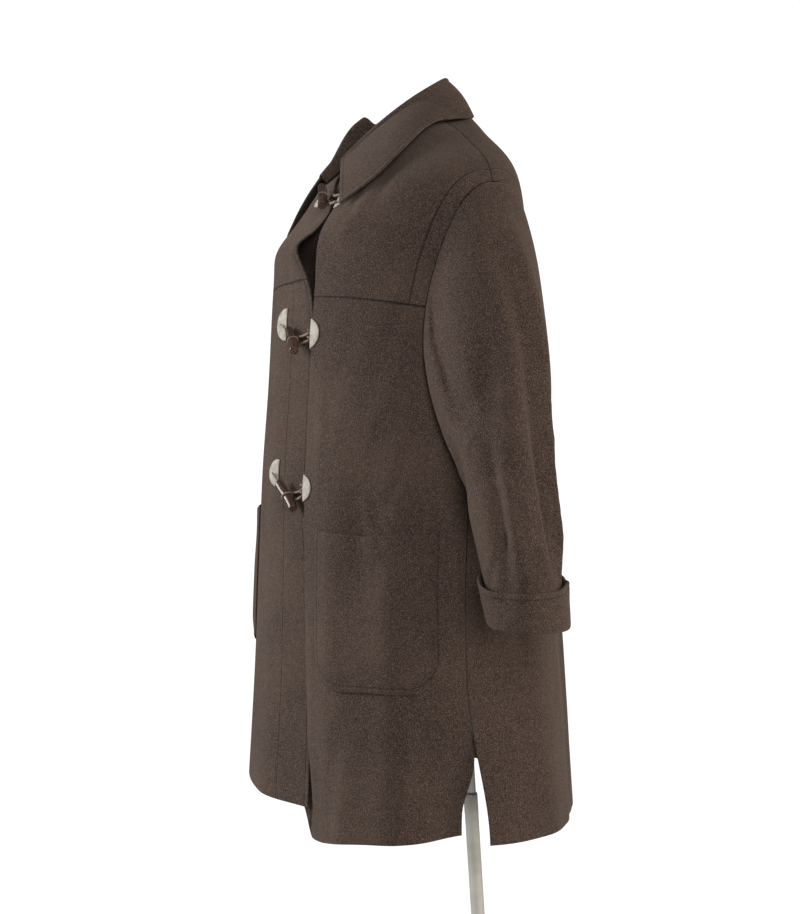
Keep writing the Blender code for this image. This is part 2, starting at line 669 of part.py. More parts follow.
def build_fastenings(leather, horn, thong):
    for number, row in enumerate(FASTENINGS, start=1):
        right_z, left_z, toggle_z, right_x, left_x, toggle_x, *lean = row
        for name, surface, x, z, side in (
            ("right", right_front, right_x, right_z, -1), ("left", left_front, left_x, left_z, 1),
        ):
            turn, down = patch_grid(surface, x, z, side)
            add_panel(f"patch_{name}_{number}", surface, turn, down, leather,
                      lift=LIE_GAP + PATCH_LEATHER, thickness=PATCH_LEATHER)

        foot = over(right_front, toggle_x, toggle_z, 0.0)
        outward = over(right_front, toggle_x, toggle_z, 1.0) - foot
        middle = foot + outward * (TOGGLE_RADIUS + TOGGLE_STAND)
        lean = np.array(lean) / np.linalg.norm(lean)
        lean = lean - outward * (lean @ outward) * 0.8
        lean /= np.linalg.norm(lean)
        shares = np.array([-0.5, -0.485, -0.25, 0.0, 0.25, 0.485, 0.5])
        radii = TOGGLE_RADIUS * np.array([0.80, 0.93, 0.98, 1.0, 1.03, 1.0, 0.88])
        add_tube(f"toggle_{number}", middle + shares[:, None] * TOGGLE_LENGTH * lean, radii, 12, horn)

        on_patch = LIE_GAP + PATCH_LEATHER + 0.0005 + CORD_RADIUS
        low = 0.0007 + CORD_RADIUS
        high = low + 2 * CORD_RADIUS + 0.0006
        bend_x = toggle_x - 0.010
        own = curve_through([
            over(right_front, right_x - 0.010, right_z, on_patch + 0.0004),
            over(right_front, right_x + 0.004, (2 * right_z + toggle_z) / 3, on_patch + 0.0004),
            over(right_front, bend_x - 0.005, toggle_z, low),
            over(right_front, toggle_x - 0.001, toggle_z, low),
        ], 12)
        add_tube(f"cord_{number}", own, CORD_RADIUS, 6, thong)
        rim_x = max(float(edge_x(surface_at(right_front, toggle_x, toggle_z)[1])) - 0.002, toggle_x + 0.018)
        strands = []
        for drop in (LOOP_HALF, -LOOP_HALF):
            strands.append([
                over(left_front, left_x + 0.010, left_z + drop, on_patch + 0.0004),
                over(left_front, left_x + 0.001, left_z + drop, on_patch + 0.0014),
                over(right_front, rim_x, (left_z + toggle_z) / 2 + drop, low + 0.003),
                over(right_front, toggle_x + 0.012, toggle_z + drop, low + 0.002),
                over(right_front, toggle_x, toggle_z + drop, low),
                over(right_front, bend_x + 0.003, toggle_z + drop * 0.85, (low + high) / 2),
            ])
        tip = over(right_front, bend_x, toggle_z, high)
        loop = curve_through(strands[0] + [tip] + strands[1][::-1], 28)
        add_tube(f"loop_{number}", loop, CORD_RADIUS, 6, thong)


# ---------------------------------------------------------------- the dress form and its stand
FORM_COLUMNS = ("z", "half_width", "y_front", "y_back", "square")
FORM_RINGS = (
    (FORM_FOOT_Z, 0.160, -0.235, -0.010, 2.2),
    (0.800, 0.172, -0.245, 0.005, 2.2),
    (0.900, 0.158, -0.235, -0.005, 2.2),
    (1.000, 0.130, -0.222, -0.020, 2.1),
    (1.080, 0.140, -0.235, -0.012, 2.1),
    (1.150, 0.158, -0.256, -0.006, 2.2),
    (1.200, 0.168, -0.250, -0.008, 2.3),
    (1.240, 0.172, -0.228, -0.008, 2.4),
    (1.262, 0.168, -0.205, -0.018, 2.4),
    (1.285, 0.140, -0.190, -0.032, 2.3),
    (1.308, 0.105, -0.180, -0.045, 2.1),
    (1.330, 0.070, -0.172, -0.054, 2.0),
    (1.362, 0.057, -0.169, -0.058, 2.0),
)


def build_form(plaster):
    """A smooth limbless torso: rings from the hips to the neck, closed flat at both ends."""
    around = np.radians(np.arange(0, 360, 15.0))
    rows = []
    for z, half_width, y_front, y_back, square in FORM_RINGS:
        middle, half = (y_front + y_back) / 2, (y_back - y_front) / 2
        x = half_width * power(np.sin(around), 2 / square)
        y = middle - half * power(np.cos(around), 2 / square)
        rows.append(np.stack([x, y, np.full_like(x, z)], -1))
    rows = np.array(rows)
    count, sides = rows.shape[:2]
    faces = [
        (i * sides + k, i * sides + (k + 1) % sides, (i + 1) * sides + (k + 1) % sides, (i + 1) * sides + k)
        for i in range(count - 1)
        for k in range(sides)
    ]
    faces.append(tuple(range(sides))[::-1])
    faces.append(tuple((count - 1) * sides + k for k in range(sides)))
    add_mesh("form_torso", rows.reshape(-1, 3), faces, plaster)


def on_pole(z):
    return np.array([0.0, -POLE_LEAN * z, z])


def turned(profile, sides):
    """Rings of a turned piece from (radius, z) pairs, about the base's own upright axis."""
    around = np.radians(np.arange(0, 360, 360 / sides))
    return np.array([
        np.stack([r * np.cos(around), r * np.sin(around), np.full_like(around, z)], -1) for r, z in profile
    ])


def build_stand(metal, enamel):
    add_tube("pole_inner", [on_pole(z) for z in (POLE_JOINT_Z + 0.0006, 0.62, FORM_FOOT_Z - 0.0006)],
             POLE_INNER_RADIUS, 20, metal)
    add_tube("pole_outer", [on_pole(z) for z in (HUB_TOP_Z + 0.0011, 0.2, POLE_JOINT_Z)],
             POLE_OUTER_RADIUS, 20, metal)
    edge = 0.002
    disc = ((BASE_RADIUS - edge, 0.0), (BASE_RADIUS, edge), (BASE_RADIUS, BASE_THICKNESS - edge),
            (BASE_RADIUS - edge, BASE_THICKNESS))
    cone = ((0.024, BASE_THICKNESS + 0.0004), (0.024, BASE_THICKNESS + 0.004), (0.015, HUB_TOP_Z))
    for name, profile, sides in (("base", disc, 48), ("pole_hub", cone, 24)):
        rings = turned(profile, sides)
        count = len(rings)
        faces = [
            (i * sides + k, i * sides + (k + 1) % sides, (i + 1) * sides + (k + 1) % sides, (i + 1) * sides + k)
            for i in range(count - 1)
            for k in range(sides)
        ]
        faces.append(tuple(range(sides))[::-1])
        faces.append(tuple((count - 1) * sides + k for k in range(sides)))
        add_mesh(name, rings.reshape(-1, 3), faces, enamel)


def main():
    for obj in list(bpy.data.objects):
        bpy.data.objects.remove(obj)
    wool = material("brown_wool", (0.105, 0.075, 0.058), 0.95)
    leather = material("white_leather", (0.62, 0.59, 0.53), 0.6)
    horn = material("brown_horn", (0.10, 0.05, 0.035), 0.25)
    thong = material("tan_thong", (0.36, 0.27, 0.20), 0.6)
    plaster = material("cream_form", (0.80, 0.78, 0.72), 0.5)
    metal = material("satin_pole", (0.78, 0.77, 0.70), 0.35, 0.3)
    enamel = material("white_enamel", (0.82, 0.82, 0.78), 0.4)
    build_back(wool)
    build_fronts(wool)
    build_sleeves(wool)
    build_cuffs(wool)
    build_collar(wool)
    build_pockets(wool)
    build_fastenings(leather, horn, thong)
    build_form(plaster)
    build_stand(metal, enamel)


main()
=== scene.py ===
# %% [markdown]
# # A duffle coat on a dress form
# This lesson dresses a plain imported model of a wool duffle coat: thin shells of heathered wool for
# every cut piece, leather patches, horn toggles, a smooth dress form and its stand. Everything is in
# metres with +Z up, the coat faces -Y, and left means the wearer's left, at +X.

import bpy
import numpy as np
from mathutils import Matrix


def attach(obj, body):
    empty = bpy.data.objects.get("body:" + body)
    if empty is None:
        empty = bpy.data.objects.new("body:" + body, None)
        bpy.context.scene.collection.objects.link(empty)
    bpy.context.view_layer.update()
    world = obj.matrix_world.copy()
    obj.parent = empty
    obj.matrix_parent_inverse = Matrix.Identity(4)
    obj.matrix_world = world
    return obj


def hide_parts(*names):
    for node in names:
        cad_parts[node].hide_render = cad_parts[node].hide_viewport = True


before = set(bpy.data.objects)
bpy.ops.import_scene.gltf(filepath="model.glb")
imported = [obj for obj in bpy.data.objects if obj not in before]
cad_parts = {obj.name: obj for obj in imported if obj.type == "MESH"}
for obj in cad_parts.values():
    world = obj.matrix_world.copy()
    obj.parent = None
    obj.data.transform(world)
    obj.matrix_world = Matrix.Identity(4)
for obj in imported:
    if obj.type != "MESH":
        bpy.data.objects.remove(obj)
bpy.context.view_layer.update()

# %% [markdown]
# ## The camera
# A coat is best seen from its side and a little from the front, with a long lens, so that its upright
# lines stay upright. The camera is level, at chest height.

# %% Camera
camera_data = bpy.data.cameras.new("camera")
camera_data.sensor_fit = "VERTICAL"
camera_data.sensor_height = 36.0
camera_data.lens = 55.38
camera = bpy.data.objects.new("camera", camera_data)
camera.location = (1.7400, -0.6963, 0.942)
camera.rotation_euler = (np.radians(90.0), 0.0, np.radians(72.0))
bpy.context.scene.collection.objects.link(camera)
bpy.context.scene.camera = camera


# %% [markdown]
# ## Small tools for smooth shapes
# A curve through named sizes, a soft step and a soft bump are enough to draw every panel. Each takes
# whole arrays, so a surface of many thousand points is one sum.

# %% Curves, steps and bumps
def column(rows, names, name):
    return np.array([row[names.index(name)] for row in rows], float)


def through(places, values, at):
    """A smooth curve through values at places: cubic pieces whose slopes are the means of the spans'
    slopes on either side. Beyond its ends it goes straight on."""
    spans = np.diff(values) / np.diff(places)
    slopes = np.concatenate([spans[:1], (spans[:-1] + spans[1:]) / 2, spans[-1:]])
    inside = np.clip(at, places[0], places[-1])
    i = np.clip(np.searchsorted(places, inside, side="right") - 1, 0, len(places) - 2)
    width = places[i + 1] - places[i]
    t = (inside - places[i]) / width
    return (
        values[i] * (2 * t**3 - 3 * t**2 + 1)
        + values[i + 1] * (3 * t**2 - 2 * t**3)
        + slopes[i] * width * (t**3 - 2 * t**2 + t)
        + slopes[i + 1] * width * (t**3 - t**2)
        + np.where(at < places[0], slopes[0], slopes[-1]) * (at - inside)
    )


def ease(x, low, high):
    """0 below low, 1 above high, and 3t^2 - 2t^3 between."""
    t = np.clip((x - low) / (high - low), 0, 1)
    return t * t * (3 - 2 * t)


def hump(x, middle, half_width):
    """A bell: e to the power of minus the squared distance from its middle."""
    return np.exp(-(((x - middle) / half_width) ** 2))


def power(x, exponent):
    return np.sign(x) * np.abs(x) ** exponent


def unit(v):
    return v / np.maximum(np.linalg.norm(v, axis=-1, keepdims=True), 1e-12)


# %% [markdown]
# ## From grids to meshes
# Cloth has a thickness and a soft rim. A wall is made of two grids of points, its face and its inside,
# that share their outermost points, and it thins to nothing over the last millimetre, so each cut edge
# is rounded as a turned and pressed edge is.

# %% Grid meshes
CLOTH_RIM = 0.0014      # the radius of a turned and pressed edge, in metres
FAR = 9.0               # metres: farther from a line than any point of the coat


def mesh_object(name, points, faces, finishes, which=None, lines=None):
    """A smooth object. which gives each face's finish, and lines holds values kept at the points."""
    faces = faces.tolist() if hasattr(faces, "tolist") else faces
    mesh = bpy.data.meshes.new(name)
    mesh.from_pydata(points.reshape(-1, 3).tolist(), [], faces)
    for finish in finishes:
        mesh.materials.append(finish)
    if which is not None:
        mesh.polygons.foreach_set("material_index", np.asarray(which, np.int32))
    mesh.shade_smooth()
    for key, values in (lines or {}).items():
        layer = mesh.attributes.new(key, "FLOAT", "POINT")
        layer.data.foreach_set("value", np.asarray(values, np.float32).ravel())
    mesh.update()
    made = bpy.data.objects.new(name, mesh)
    bpy.context.scene.collection.objects.link(made)
    return made


def grid_faces(rows, columns, round_tube=False):
    """Corner numbers of the quads of a grid, its last column joined to the first on a tube."""
    i = np.arange(rows - 1)[:, None]
    j = np.arange(columns if round_tube else columns - 1)[None, :]
    k = (j + 1) % columns
    below = (i + 1) * columns
    return np.stack([i * columns + j, below + j, below + k, i * columns + k], -1).reshape(-1, 4)


def along_rows(points):
    """Length in metres from the first row, down each column."""
    steps = np.linalg.norm(np.diff(points, axis=0), axis=-1)
    return np.concatenate([np.zeros((1, points.shape[1])), np.cumsum(steps, axis=0)])


def along_columns(points):
    """Length in metres from the first column, along each row."""
    return along_rows(points.transpose(1, 0, 2)).T


def cloth_wall(name, middle, normal, thickness, finishes, round_tube=False, lines=None, rim=CLOTH_RIM):
    """A wall of cloth round its middle surface: half its thickness out and in along the normal, times
    the square root of 1 - (1 - d)^2, where d is the distance from the rim over the rim's radius."""
    rows, columns = middle.shape[:2]
    down = along_rows(middle)
    near = np.minimum(down, down[-1:] - down)
    if not round_tube:
        across = along_columns(middle)
        near = np.minimum(near, np.minimum(across, across[:, -1:] - across))
    share = 1 - np.clip(near / rim, 0, 1)
    half = thickness / 2 * np.sqrt(np.clip(1 - share**2, 0, 1))[..., None]
    outer, inner = middle + normal * half, middle - normal * half
    count = rows * columns
    border = np.zeros((rows, columns), bool)
    border[0], border[-1] = True, True
    if not round_tube:
        border[:, 0], border[:, -1] = True, True
    number = np.arange(count)
    inner_number = np.where(border.ravel(), number, number + count)
    quads = grid_faces(rows, columns, round_tube)
    faces = np.concatenate([quads, inner_number[quads][:, ::-1]])
    used = np.zeros(2 * count, bool)
    used[faces.ravel()] = True
    renumber = np.cumsum(used) - 1
    points = np.concatenate([outer.reshape(-1, 3), inner.reshape(-1, 3)])[used]
    which = np.repeat([0, len(finishes) - 1], len(quads))
    kept = {key: np.tile(values.ravel(), 2)[used] for key, values in (lines or {}).items()}
    made = mesh_object(name, points, renumber[faces], finishes, which, kept)
    made["cut_width"] = float((along_columns(middle)[:, -1]).max())
    made["cut_length"] = float(down[-1].max())
    corners = middle.reshape(-1, 3)[quads]
    crossed = np.cross(corners[:, 2] - corners[:, 0], corners[:, 3] - corners[:, 1])
    made["cut_area"] = float(np.linalg.norm(crossed, axis=-1).sum() / 2)
    return made


def closed_shell(name, points, finish):
    """A closed skin from rings of points: quads between the rings and one cap at each end."""
    rows, columns = points.shape[:2]
    faces = grid_faces(rows, columns, True).tolist()
    faces += [list(range(columns)), [(rows - 1) * columns + k for k in range(columns)][::-1]]
    return mesh_object(name, points, faces, (finish,))


def with_rim(values, length, rim=CLOTH_RIM):
    """Shares from 0 to 1, with a few more close to both ends where the rim rounds off."""
    near = np.array([0.06, 0.22, 0.5, 0.85, 1.4]) * rim / length
    values = values[(values > 2.0 * rim / length) & (values < 1 - 2.0 * rim / length)]
    return np.concatenate([[0], near, values, 1 - near[::-1], [1]])


def distance_to(points, line):
    """Each point's distance to the nearest of a line's closely spaced points."""
    flat = points.reshape(-1, 3)
    best = np.full(len(flat), FAR)
    for start in range(0, len(line), 60):
        part = line[start:start + 60]
        best = np.minimum(best, np.linalg.norm(flat[:, None] - part[None], axis=-1).min(axis=1))
    return best.reshape(points.shape[:-1])


# %% [markdown]
# ## Wool, lining, leather and horn
# The coat's cloth is a milled wool of mixed fibres: brown, grey and beige hairs felted together, so
# that no weave shows. The mixture is a shader group, used by every wool piece. It puts out a colour and
# a height, and the sewn lines are pressed into it where an attribute says how far the seam is. Each
# pressed line is also darkened in the colour: painted shade in its groove.

# %% Node helpers
def new_material(name, roughness, sheen=0.0, sheen_roughness=0.5, metallic=0.0, coat=0.0, coat_roughness=0.1):
    """A material, its nodes and its shader, with the values that are the same all over it."""
    made = bpy.data.materials.new(name)
    made.use_nodes = True
    shader = made.node_tree.nodes["Principled BSDF"]
    shader.inputs["Roughness"].default_value = roughness
    shader.inputs["Metallic"].default_value = metallic
    shader.inputs["Sheen Weight"].default_value = sheen
    shader.inputs["Sheen Roughness"].default_value = sheen_roughness
    shader.inputs["Coat Weight"].default_value = coat
    shader.inputs["Coat Roughness"].default_value = coat_roughness
    return made, made.node_tree, shader


def node(tree, kind, **settings):
    """A node whose settings are sockets where it has one of that name, and properties otherwise."""
    made = tree.nodes.new(kind)
    for key, value in settings.items():
        if key in made.inputs:
            made.inputs[key].default_value = value
        else:
            setattr(made, key, value)
    return made


def fill(tree, socket, value):
    """Links a socket, or sets it to a plain value."""
    if hasattr(value, "links"):
        tree.links.new(value, socket)
    else:
        socket.default_value = value


def maths(tree, operation, a, b=None):
    made = node(tree, "ShaderNodeMath", operation=operation)
    for socket, value in zip(made.inputs, (a, b)):
        if value is not None:
            fill(tree, socket, value)
    return made.outputs[0]


def times(tree, value, by):
    return maths(tree, "MULTIPLY", value, by)


def plus(tree, value, other):
    return maths(tree, "ADD", value, other)


def object_place(tree):
    return node(tree, "ShaderNodeTexCoord").outputs["Object"]


def bumped(tree, shader, height, strength, distance):
    """Gives the shader a bump of this height, up to distance metres deep."""
    bump = node(tree, "ShaderNodeBump", Strength=strength, Distance=distance)
    tree.links.new(height, bump.inputs["Height"])
    tree.links.new(bump.outputs["Normal"], shader.inputs["Normal"])


def mixed(tree, factor, a, b):
    """A mix of two colours, each a socket or a plain (r, g, b)."""
    made = node(tree, "ShaderNodeMix", data_type="RGBA")
    sockets = {socket.identifier: socket for socket in made.inputs}
    fill(tree, sockets["Factor_Float"], factor)
    for name, value in (("A_Color", a), ("B_Color", b)):
        fill(tree, sockets[name], (*value, 1) if isinstance(value, tuple) else value)
    return next(socket for socket in made.outputs if socket.identifier == "Result_Color")


def noise(tree, place, scale, detail=2.0, roughness=0.5):
    """Noise with this many cycles to the metre, from 0 to 1."""
    made = node(tree, "ShaderNodeTexNoise", Scale=scale, Detail=detail, Roughness=roughness)
    tree.links.new(place, made.inputs["Vector"])
    return made.outputs["Fac"]


def stepped(tree, value, low, high):
    """0 at low, 1 at high, with a smooth step between."""
    made = node(tree, "ShaderNodeMapRange", interpolation_type="SMOOTHSTEP")
    made.inputs["From Min"].default_value = low
    made.inputs["From Max"].default_value = high
    tree.links.new(value, made.inputs["Value"])
    return made.outputs["Result"]


def new_group(name, inputs, outputs):
    """A shader group with named sockets. inputs and outputs are {name: kind}, such as "Color"."""
    tree = bpy.data.node_groups.new(name, "ShaderNodeTree")
    for way, sockets in (("INPUT", inputs), ("OUTPUT", outputs)):
        for label, kind in sockets.items():
            tree.interface.new_socket(label, in_out=way, socket_type="NodeSocket" + kind)
    return tree, node(tree, "NodeGroupInput").outputs, node(tree, "NodeGroupOutput").inputs


def use_group(tree, group, **values):
    made = node(tree, "ShaderNodeGroup", node_tree=group)
    for key, value in values.items():
        fill(tree, made.inputs[key], value)
    return made.outputs


# %% The mixture of fibres
fibre_mix, given, result = new_group(
    "fibre mix",
    {"Place": "Vector", "Dark": "Color", "Middle": "Color", "Pale": "Color"},
    {"Color": "Color", "Height": "Float"},
)
stretched = node(fibre_mix, "ShaderNodeMapping")
stretched.inputs["Scale"].default_value = (1.0, 1.0, 0.7)
stretched.inputs["Rotation"].default_value = (0.25, 0.2, 0.0)
fibre_mix.links.new(given["Place"], stretched.inputs["Vector"])
along_thread = stretched.outputs["Vector"]
flecks = noise(fibre_mix, along_thread, 980.0, 3.0, 0.75)
hairs = noise(fibre_mix, along_thread, 1700.0, 1.0, 0.5)
tufts = noise(fibre_mix, given["Place"], 150.0, 3.0, 0.55)
clouds = noise(fibre_mix, given["Place"], 9.0, 2.0, 0.5)
colour = given["Middle"]
for pattern, low, high, strength, shade in (
    (flecks, 0.48, 0.70, 0.95, "Pale"),
    (flecks, 0.50, 0.32, 0.95, "Dark"),
    (hairs, 0.56, 0.75, 0.35, "Pale"),
    (tufts, 0.45, 0.75, 0.22, "Dark"),
    (clouds, 0.35, 0.70, 0.12, "Pale"),
):
    strands = times(fibre_mix, stepped(fibre_mix, pattern, low, high), strength)
    colour = mixed(fibre_mix, strands, colour, given[shade])
fibre_mix.links.new(colour, result["Color"])
height = plus(fibre_mix, times(fibre_mix, flecks, 0.55), times(fibre_mix, tufts, 0.9))
height = plus(fibre_mix, height, times(fibre_mix, hairs, 0.3))
fibre_mix.links.new(height, result["Height"])
print("fibre mix has", len(fibre_mix.nodes), "nodes")

# %% [markdown]
# A sewn line presses a groove of about two millimetres into thick wool, with a small pucker at every
# stitch. The same mask also darkens the wool's colour in the groove, as painted shade. The group reads
# the signed distance from the line in metres, plus 1, because a piece without the attribute reads 0 and
# must show no line.

# %% A sewn line
GROOVE_HALF_WIDTH, THREAD_HALF_WIDTH = 0.0017, 0.0009

sewn_line, given, result = new_group(
    "sewn line", {"Distance": "Float", "Place": "Vector"}, {"Groove_and_painted_shade": "Float", "Thread": "Float"},
)
off = maths(sewn_line, "ABSOLUTE", maths(sewn_line, "SUBTRACT", given["Distance"], 1.0))
pucker = noise(sewn_line, given["Place"], 210.0, 0.0)
# painted shade: this mask is the groove's depth and also how far its colour is darkened
groove_and_shade_mask = stepped(sewn_line, off, GROOVE_HALF_WIDTH, 0.0)
puckered_groove_and_shade = times(sewn_line, groove_and_shade_mask, plus(sewn_line, times(sewn_line, pucker, 0.7), 0.65))
sewn_line.links.new(puckered_groove_and_shade, result["Groove_and_painted_shade"])
stitches = stepped(sewn_line, noise(sewn_line, given["Place"], 290.0, 0.0), 0.44, 0.54)
thread_line = stepped(sewn_line, off, THREAD_HALF_WIDTH, THREAD_HALF_WIDTH / 3)
sewn_line.links.new(times(sewn_line, thread_line, stitches), result["Thread"])


# %% Wool
# each depth also sets how strongly painted shade darkens that line's groove
SEWN_LINE_DEPTH_AND_SHADE = {"line_1": 1.0, "line_2": 1.0, "line_3": 0.45}     # each attribute, and how deep its line is


def wool_material(name, dark, middle, pale):
    made, tree, shader = new_material(name, 0.92, sheen=0.22, sheen_roughness=0.45)
    shader.inputs["Sheen Tint"].default_value = (0.75, 0.66, 0.58, 1)
    shader.inputs["Specular IOR Level"].default_value = 0.25
    place = object_place(tree)
    fibres = use_group(tree, fibre_mix, Place=place, Dark=(*dark, 1), Middle=(*middle, 1), Pale=(*pale, 1))
    deepest = {}
    for key, depth in SEWN_LINE_DEPTH_AND_SHADE.items():
        away = node(tree, "ShaderNodeAttribute", attribute_name=key).outputs["Fac"]
        line = use_group(tree, sewn_line, Distance=away, Place=place)
        for mark in ("Groove_and_painted_shade", "Thread"):
            value = times(tree, line[mark], depth)
            deepest[mark] = maths(tree, "MAXIMUM", deepest[mark], value) if mark in deepest else value
    # painted shade: inside each groove the wool's colour is mixed towards the dark fibre colour; the thread
    # below has its own darker colour
    colour = mixed(tree, times(tree, deepest["Groove_and_painted_shade"], 0.62), fibres["Color"], dark)
    colour = mixed(tree, times(tree, deepest["Thread"], 0.45), colour, tuple(0.8 * c for c in dark))
    tree.links.new(colour, shader.inputs["Base Color"])
    nap = node(tree, "ShaderNodeBump", Strength=0.55, Distance=0.0011)
    tree.links.new(fibres["Height"], nap.inputs["Height"])
    pressed = node(tree, "ShaderNodeBump", Strength=0.9, Distance=0.0016, invert=True)
    tree.links.new(deepest["Groove_and_painted_shade"], pressed.inputs["Height"])
    tree.links.new(nap.outputs["Normal"], pressed.inputs["Normal"])
    tree.links.new(pressed.outputs["Normal"], shader.inputs["Normal"])
    return made


wool = wool_material(
    "brown_heather_wool",
    dark=(0.018, 0.0115, 0.009),
    middle=(0.072, 0.0475, 0.039),
    pale=(0.310, 0.222, 0.175),
)
print("wool has", len(wool.node_tree.nodes), "nodes and", len(SEWN_LINE_DEPTH_AND_SHADE), "kinds of sewn line")

# %% [markdown]
# The lining is a dark brown twill with a faint sheen. It shows only inside the slits, at the hem and in
# the front's gap, so a fine diagonal and a little gloss are enough.


# %% Lining
def lining_material():
    made, tree, shader = new_material("dark_twill_lining", 0.5, sheen=0.2)
    turned_place = node(tree, "ShaderNodeMapping")
    turned_place.inputs["Rotation"].default_value = (0.0, 0.8, 0.6)
    tree.links.new(object_place(tree), turned_place.inputs["Vector"])
    twill = node(tree, "ShaderNodeTexWave", Scale=160.0, Distortion=0.4)
    tree.links.new(turned_place.outputs["Vector"], twill.inputs["Vector"])
    colour = mixed(tree, twill.outputs["Fac"], (0.014, 0.011, 0.010), (0.030, 0.024, 0.022))
    tree.links.new(colour, shader.inputs["Base Color"])
    bumped(tree, shader, twill.outputs["Fac"], 0.3, 0.0004)
    return made


lining = lining_material()
print("lining:", lining.name)

# %% [markdown]
# ## The body's surface
# A coat hangs from the shoulders as one soft column. Nine rings from the neck seam to the hem give it
# its size, each a squarish ellipse, and every panel of the body is read from it with two numbers: the
# turn round the figure in degrees, and the share of the way down.

# %% Rings and folds
CLOTH = 0.0026
EDGE_X_NECK, EDGE_X_CHEST, EDGE_X_HEM = 0.041, 0.089, 0.112
OVERLAP = 0.100
BODY_DROP = 0.93
DEGREE = 0.0047            # about how far one degree of turn is on the body, in metres
YOKE_DOWN = 0.309
ARMHOLE_TOP, ARMHOLE_FOOT = 0.183, 0.478
ARMHOLE_FRONT_TURN, ARMHOLE_BACK_TURN = 19.7, 48.0
VENT_DOWN = 0.840

RING_COLUMNS = ("down", "z_front", "z_side", "z_back", "half_width", "y_front", "y_side", "y_back", "square")
RINGS = (
    (0.000, 1.292, 1.362, 1.392, 0.090, -0.228, -0.103, -0.060, 2.8),
    (0.070, 1.262, 1.332, 1.357, 0.145, -0.248, -0.097, -0.045, 2.4),
    (0.180, 1.205, 1.262, 1.285, 0.229, -0.283, -0.093, -0.013, 2.2),
    (0.300, 1.144, 1.114, 1.150, 0.237, -0.289, -0.104, 0.009, 2.2),
    (0.430, 1.015, 1.012, 1.024, 0.240, -0.295, -0.118, 0.024, 2.2),
    (0.550, 0.908, 0.908, 0.912, 0.246, -0.302, -0.128, 0.034, 2.2),
    (0.680, 0.790, 0.790, 0.792, 0.255, -0.306, -0.136, 0.054, 2.2),
    (0.840, 0.645, 0.645, 0.645, 0.266, -0.311, -0.138, 0.066, 2.2),
    (1.000, 0.500, 0.514, 0.500, 0.272, -0.319, -0.138, 0.076, 2.2),
)
FOLDS = (
    # turn at the top, turn at the foot, half width, height, start, end
    (58.0, 50.0, 7.0, -0.005, 0.42, 0.70),
    (68.0, 63.0, 6.0, 0.005, 0.46, 1.05),
    (40.0, 38.0, 7.0, 0.004, 0.36, 0.85),
    (112.0, 118.0, 9.0, 0.006, 0.46, 1.10),
    (140.0, 146.0, 9.0, -0.006, 0.40, 1.10),
    (166.0, 166.0, 9.0, 0.006, 0.50, 1.10),
    (197.0, 193.0, 9.0, -0.006, 0.45, 1.10),
    (222.0, 216.0, 9.0, 0.006, 0.42, 1.10),
    (248.0, 242.0, 9.0, -0.005, 0.50, 1.10),
    (-62.0, -56.0, 7.0, -0.007, 0.42, 0.85),
    (-42.0, -40.0, 7.0, 0.005, 0.38, 1.05),
)

# %% [markdown]
# ### Creases
# On top of the large folds come the creases that wear and weight have left: pulls from the armhole
# towards the chest, slack under the arm, a few long soft ones in the skirt. Each row is one crease, a
# bowed line from one place to another with its own width and depth. No two are alike.

# %% Creases of the body
CREASES = (
    # turn and share down at one end, the same at the other, half width, height, bow
    (66.0, 0.26, 52.0, 0.40, 0.011, -0.0014, 0.05),
    (70.0, 0.36, 50.0, 0.52, 0.013, 0.0012, -0.06),
    (72.0, 0.44, 58.0, 0.60, 0.010, -0.0016, 0.05),
    (44.0, 0.33, 30.0, 0.47, 0.016, -0.0010, 0.08),
    (30.0, 0.40, 33.0, 0.58, 0.014, 0.0021, 0.03),
    (52.0, 0.56, 60.0, 0.64, 0.012, 0.0026, -0.04),
    (80.0, 0.52, 76.0, 0.80, 0.012, -0.0038, 0.02),
    (70.0, 0.82, 66.0, 1.02, 0.016, 0.0032, 0.03),
    (44.0, 0.84, 40.0, 1.02, 0.018, -0.0029, -0.03),
    (28.0, 0.70, 26.0, 1.02, 0.016, 0.0026, 0.02),
    (50.0, 0.10, 34.0, 0.22, 0.014, 0.0019, 0.08),
    (60.0, 0.05, 50.0, 0.17, 0.013, -0.0022, 0.05),
    (104.0, 0.50, 108.0, 0.78, 0.014, -0.0035, 0.02),
    (126.0, 0.44, 120.0, 0.70, 0.015, 0.0029, -0.03),
    (134.0, 0.30, 150.0, 0.42, 0.018, -0.0029, 0.06),
    (158.0, 0.34, 176.0, 0.46, 0.020, 0.0022, -0.05),
    (152.0, 0.66, 148.0, 1.02, 0.016, 0.0029, 0.02),
    (180.0, 0.60, 182.0, 0.98, 0.014, -0.0032, -0.02),
    (206.0, 0.40, 220.0, 0.56, 0.015, 0.0029, 0.04),
    (232.0, 0.50, 228.0, 0.86, 0.014, -0.0035, 0.02),
    (256.0, 0.46, 250.0, 0.72, 0.013, 0.0032, -0.03),
    (-70.0, 0.27, -54.0, 0.42, 0.012, -0.0035, -0.05),
    (-72.0, 0.40, -56.0, 0.55, 0.012, 0.0035, 0.05),
    (-36.0, 0.36, -24.0, 0.50, 0.016, -0.0022, -0.07),
    (-78.0, 0.55, -72.0, 0.84, 0.013, -0.0032, 0.02),
    (-30.0, 0.62, -34.0, 0.98, 0.016, 0.0026, -0.03),
    (-52.0, 0.80, -50.0, 1.02, 0.018, -0.0029, 0.03),
    (-8.0, 0.40, -10.0, 0.74, 0.014, 0.0016, 0.02),
    (-50.0, 0.08, -36.0, 0.20, 0.014, 0.0019, -0.06),
)
print(len(FOLDS), "long folds and", len(CREASES), "creases on the body")


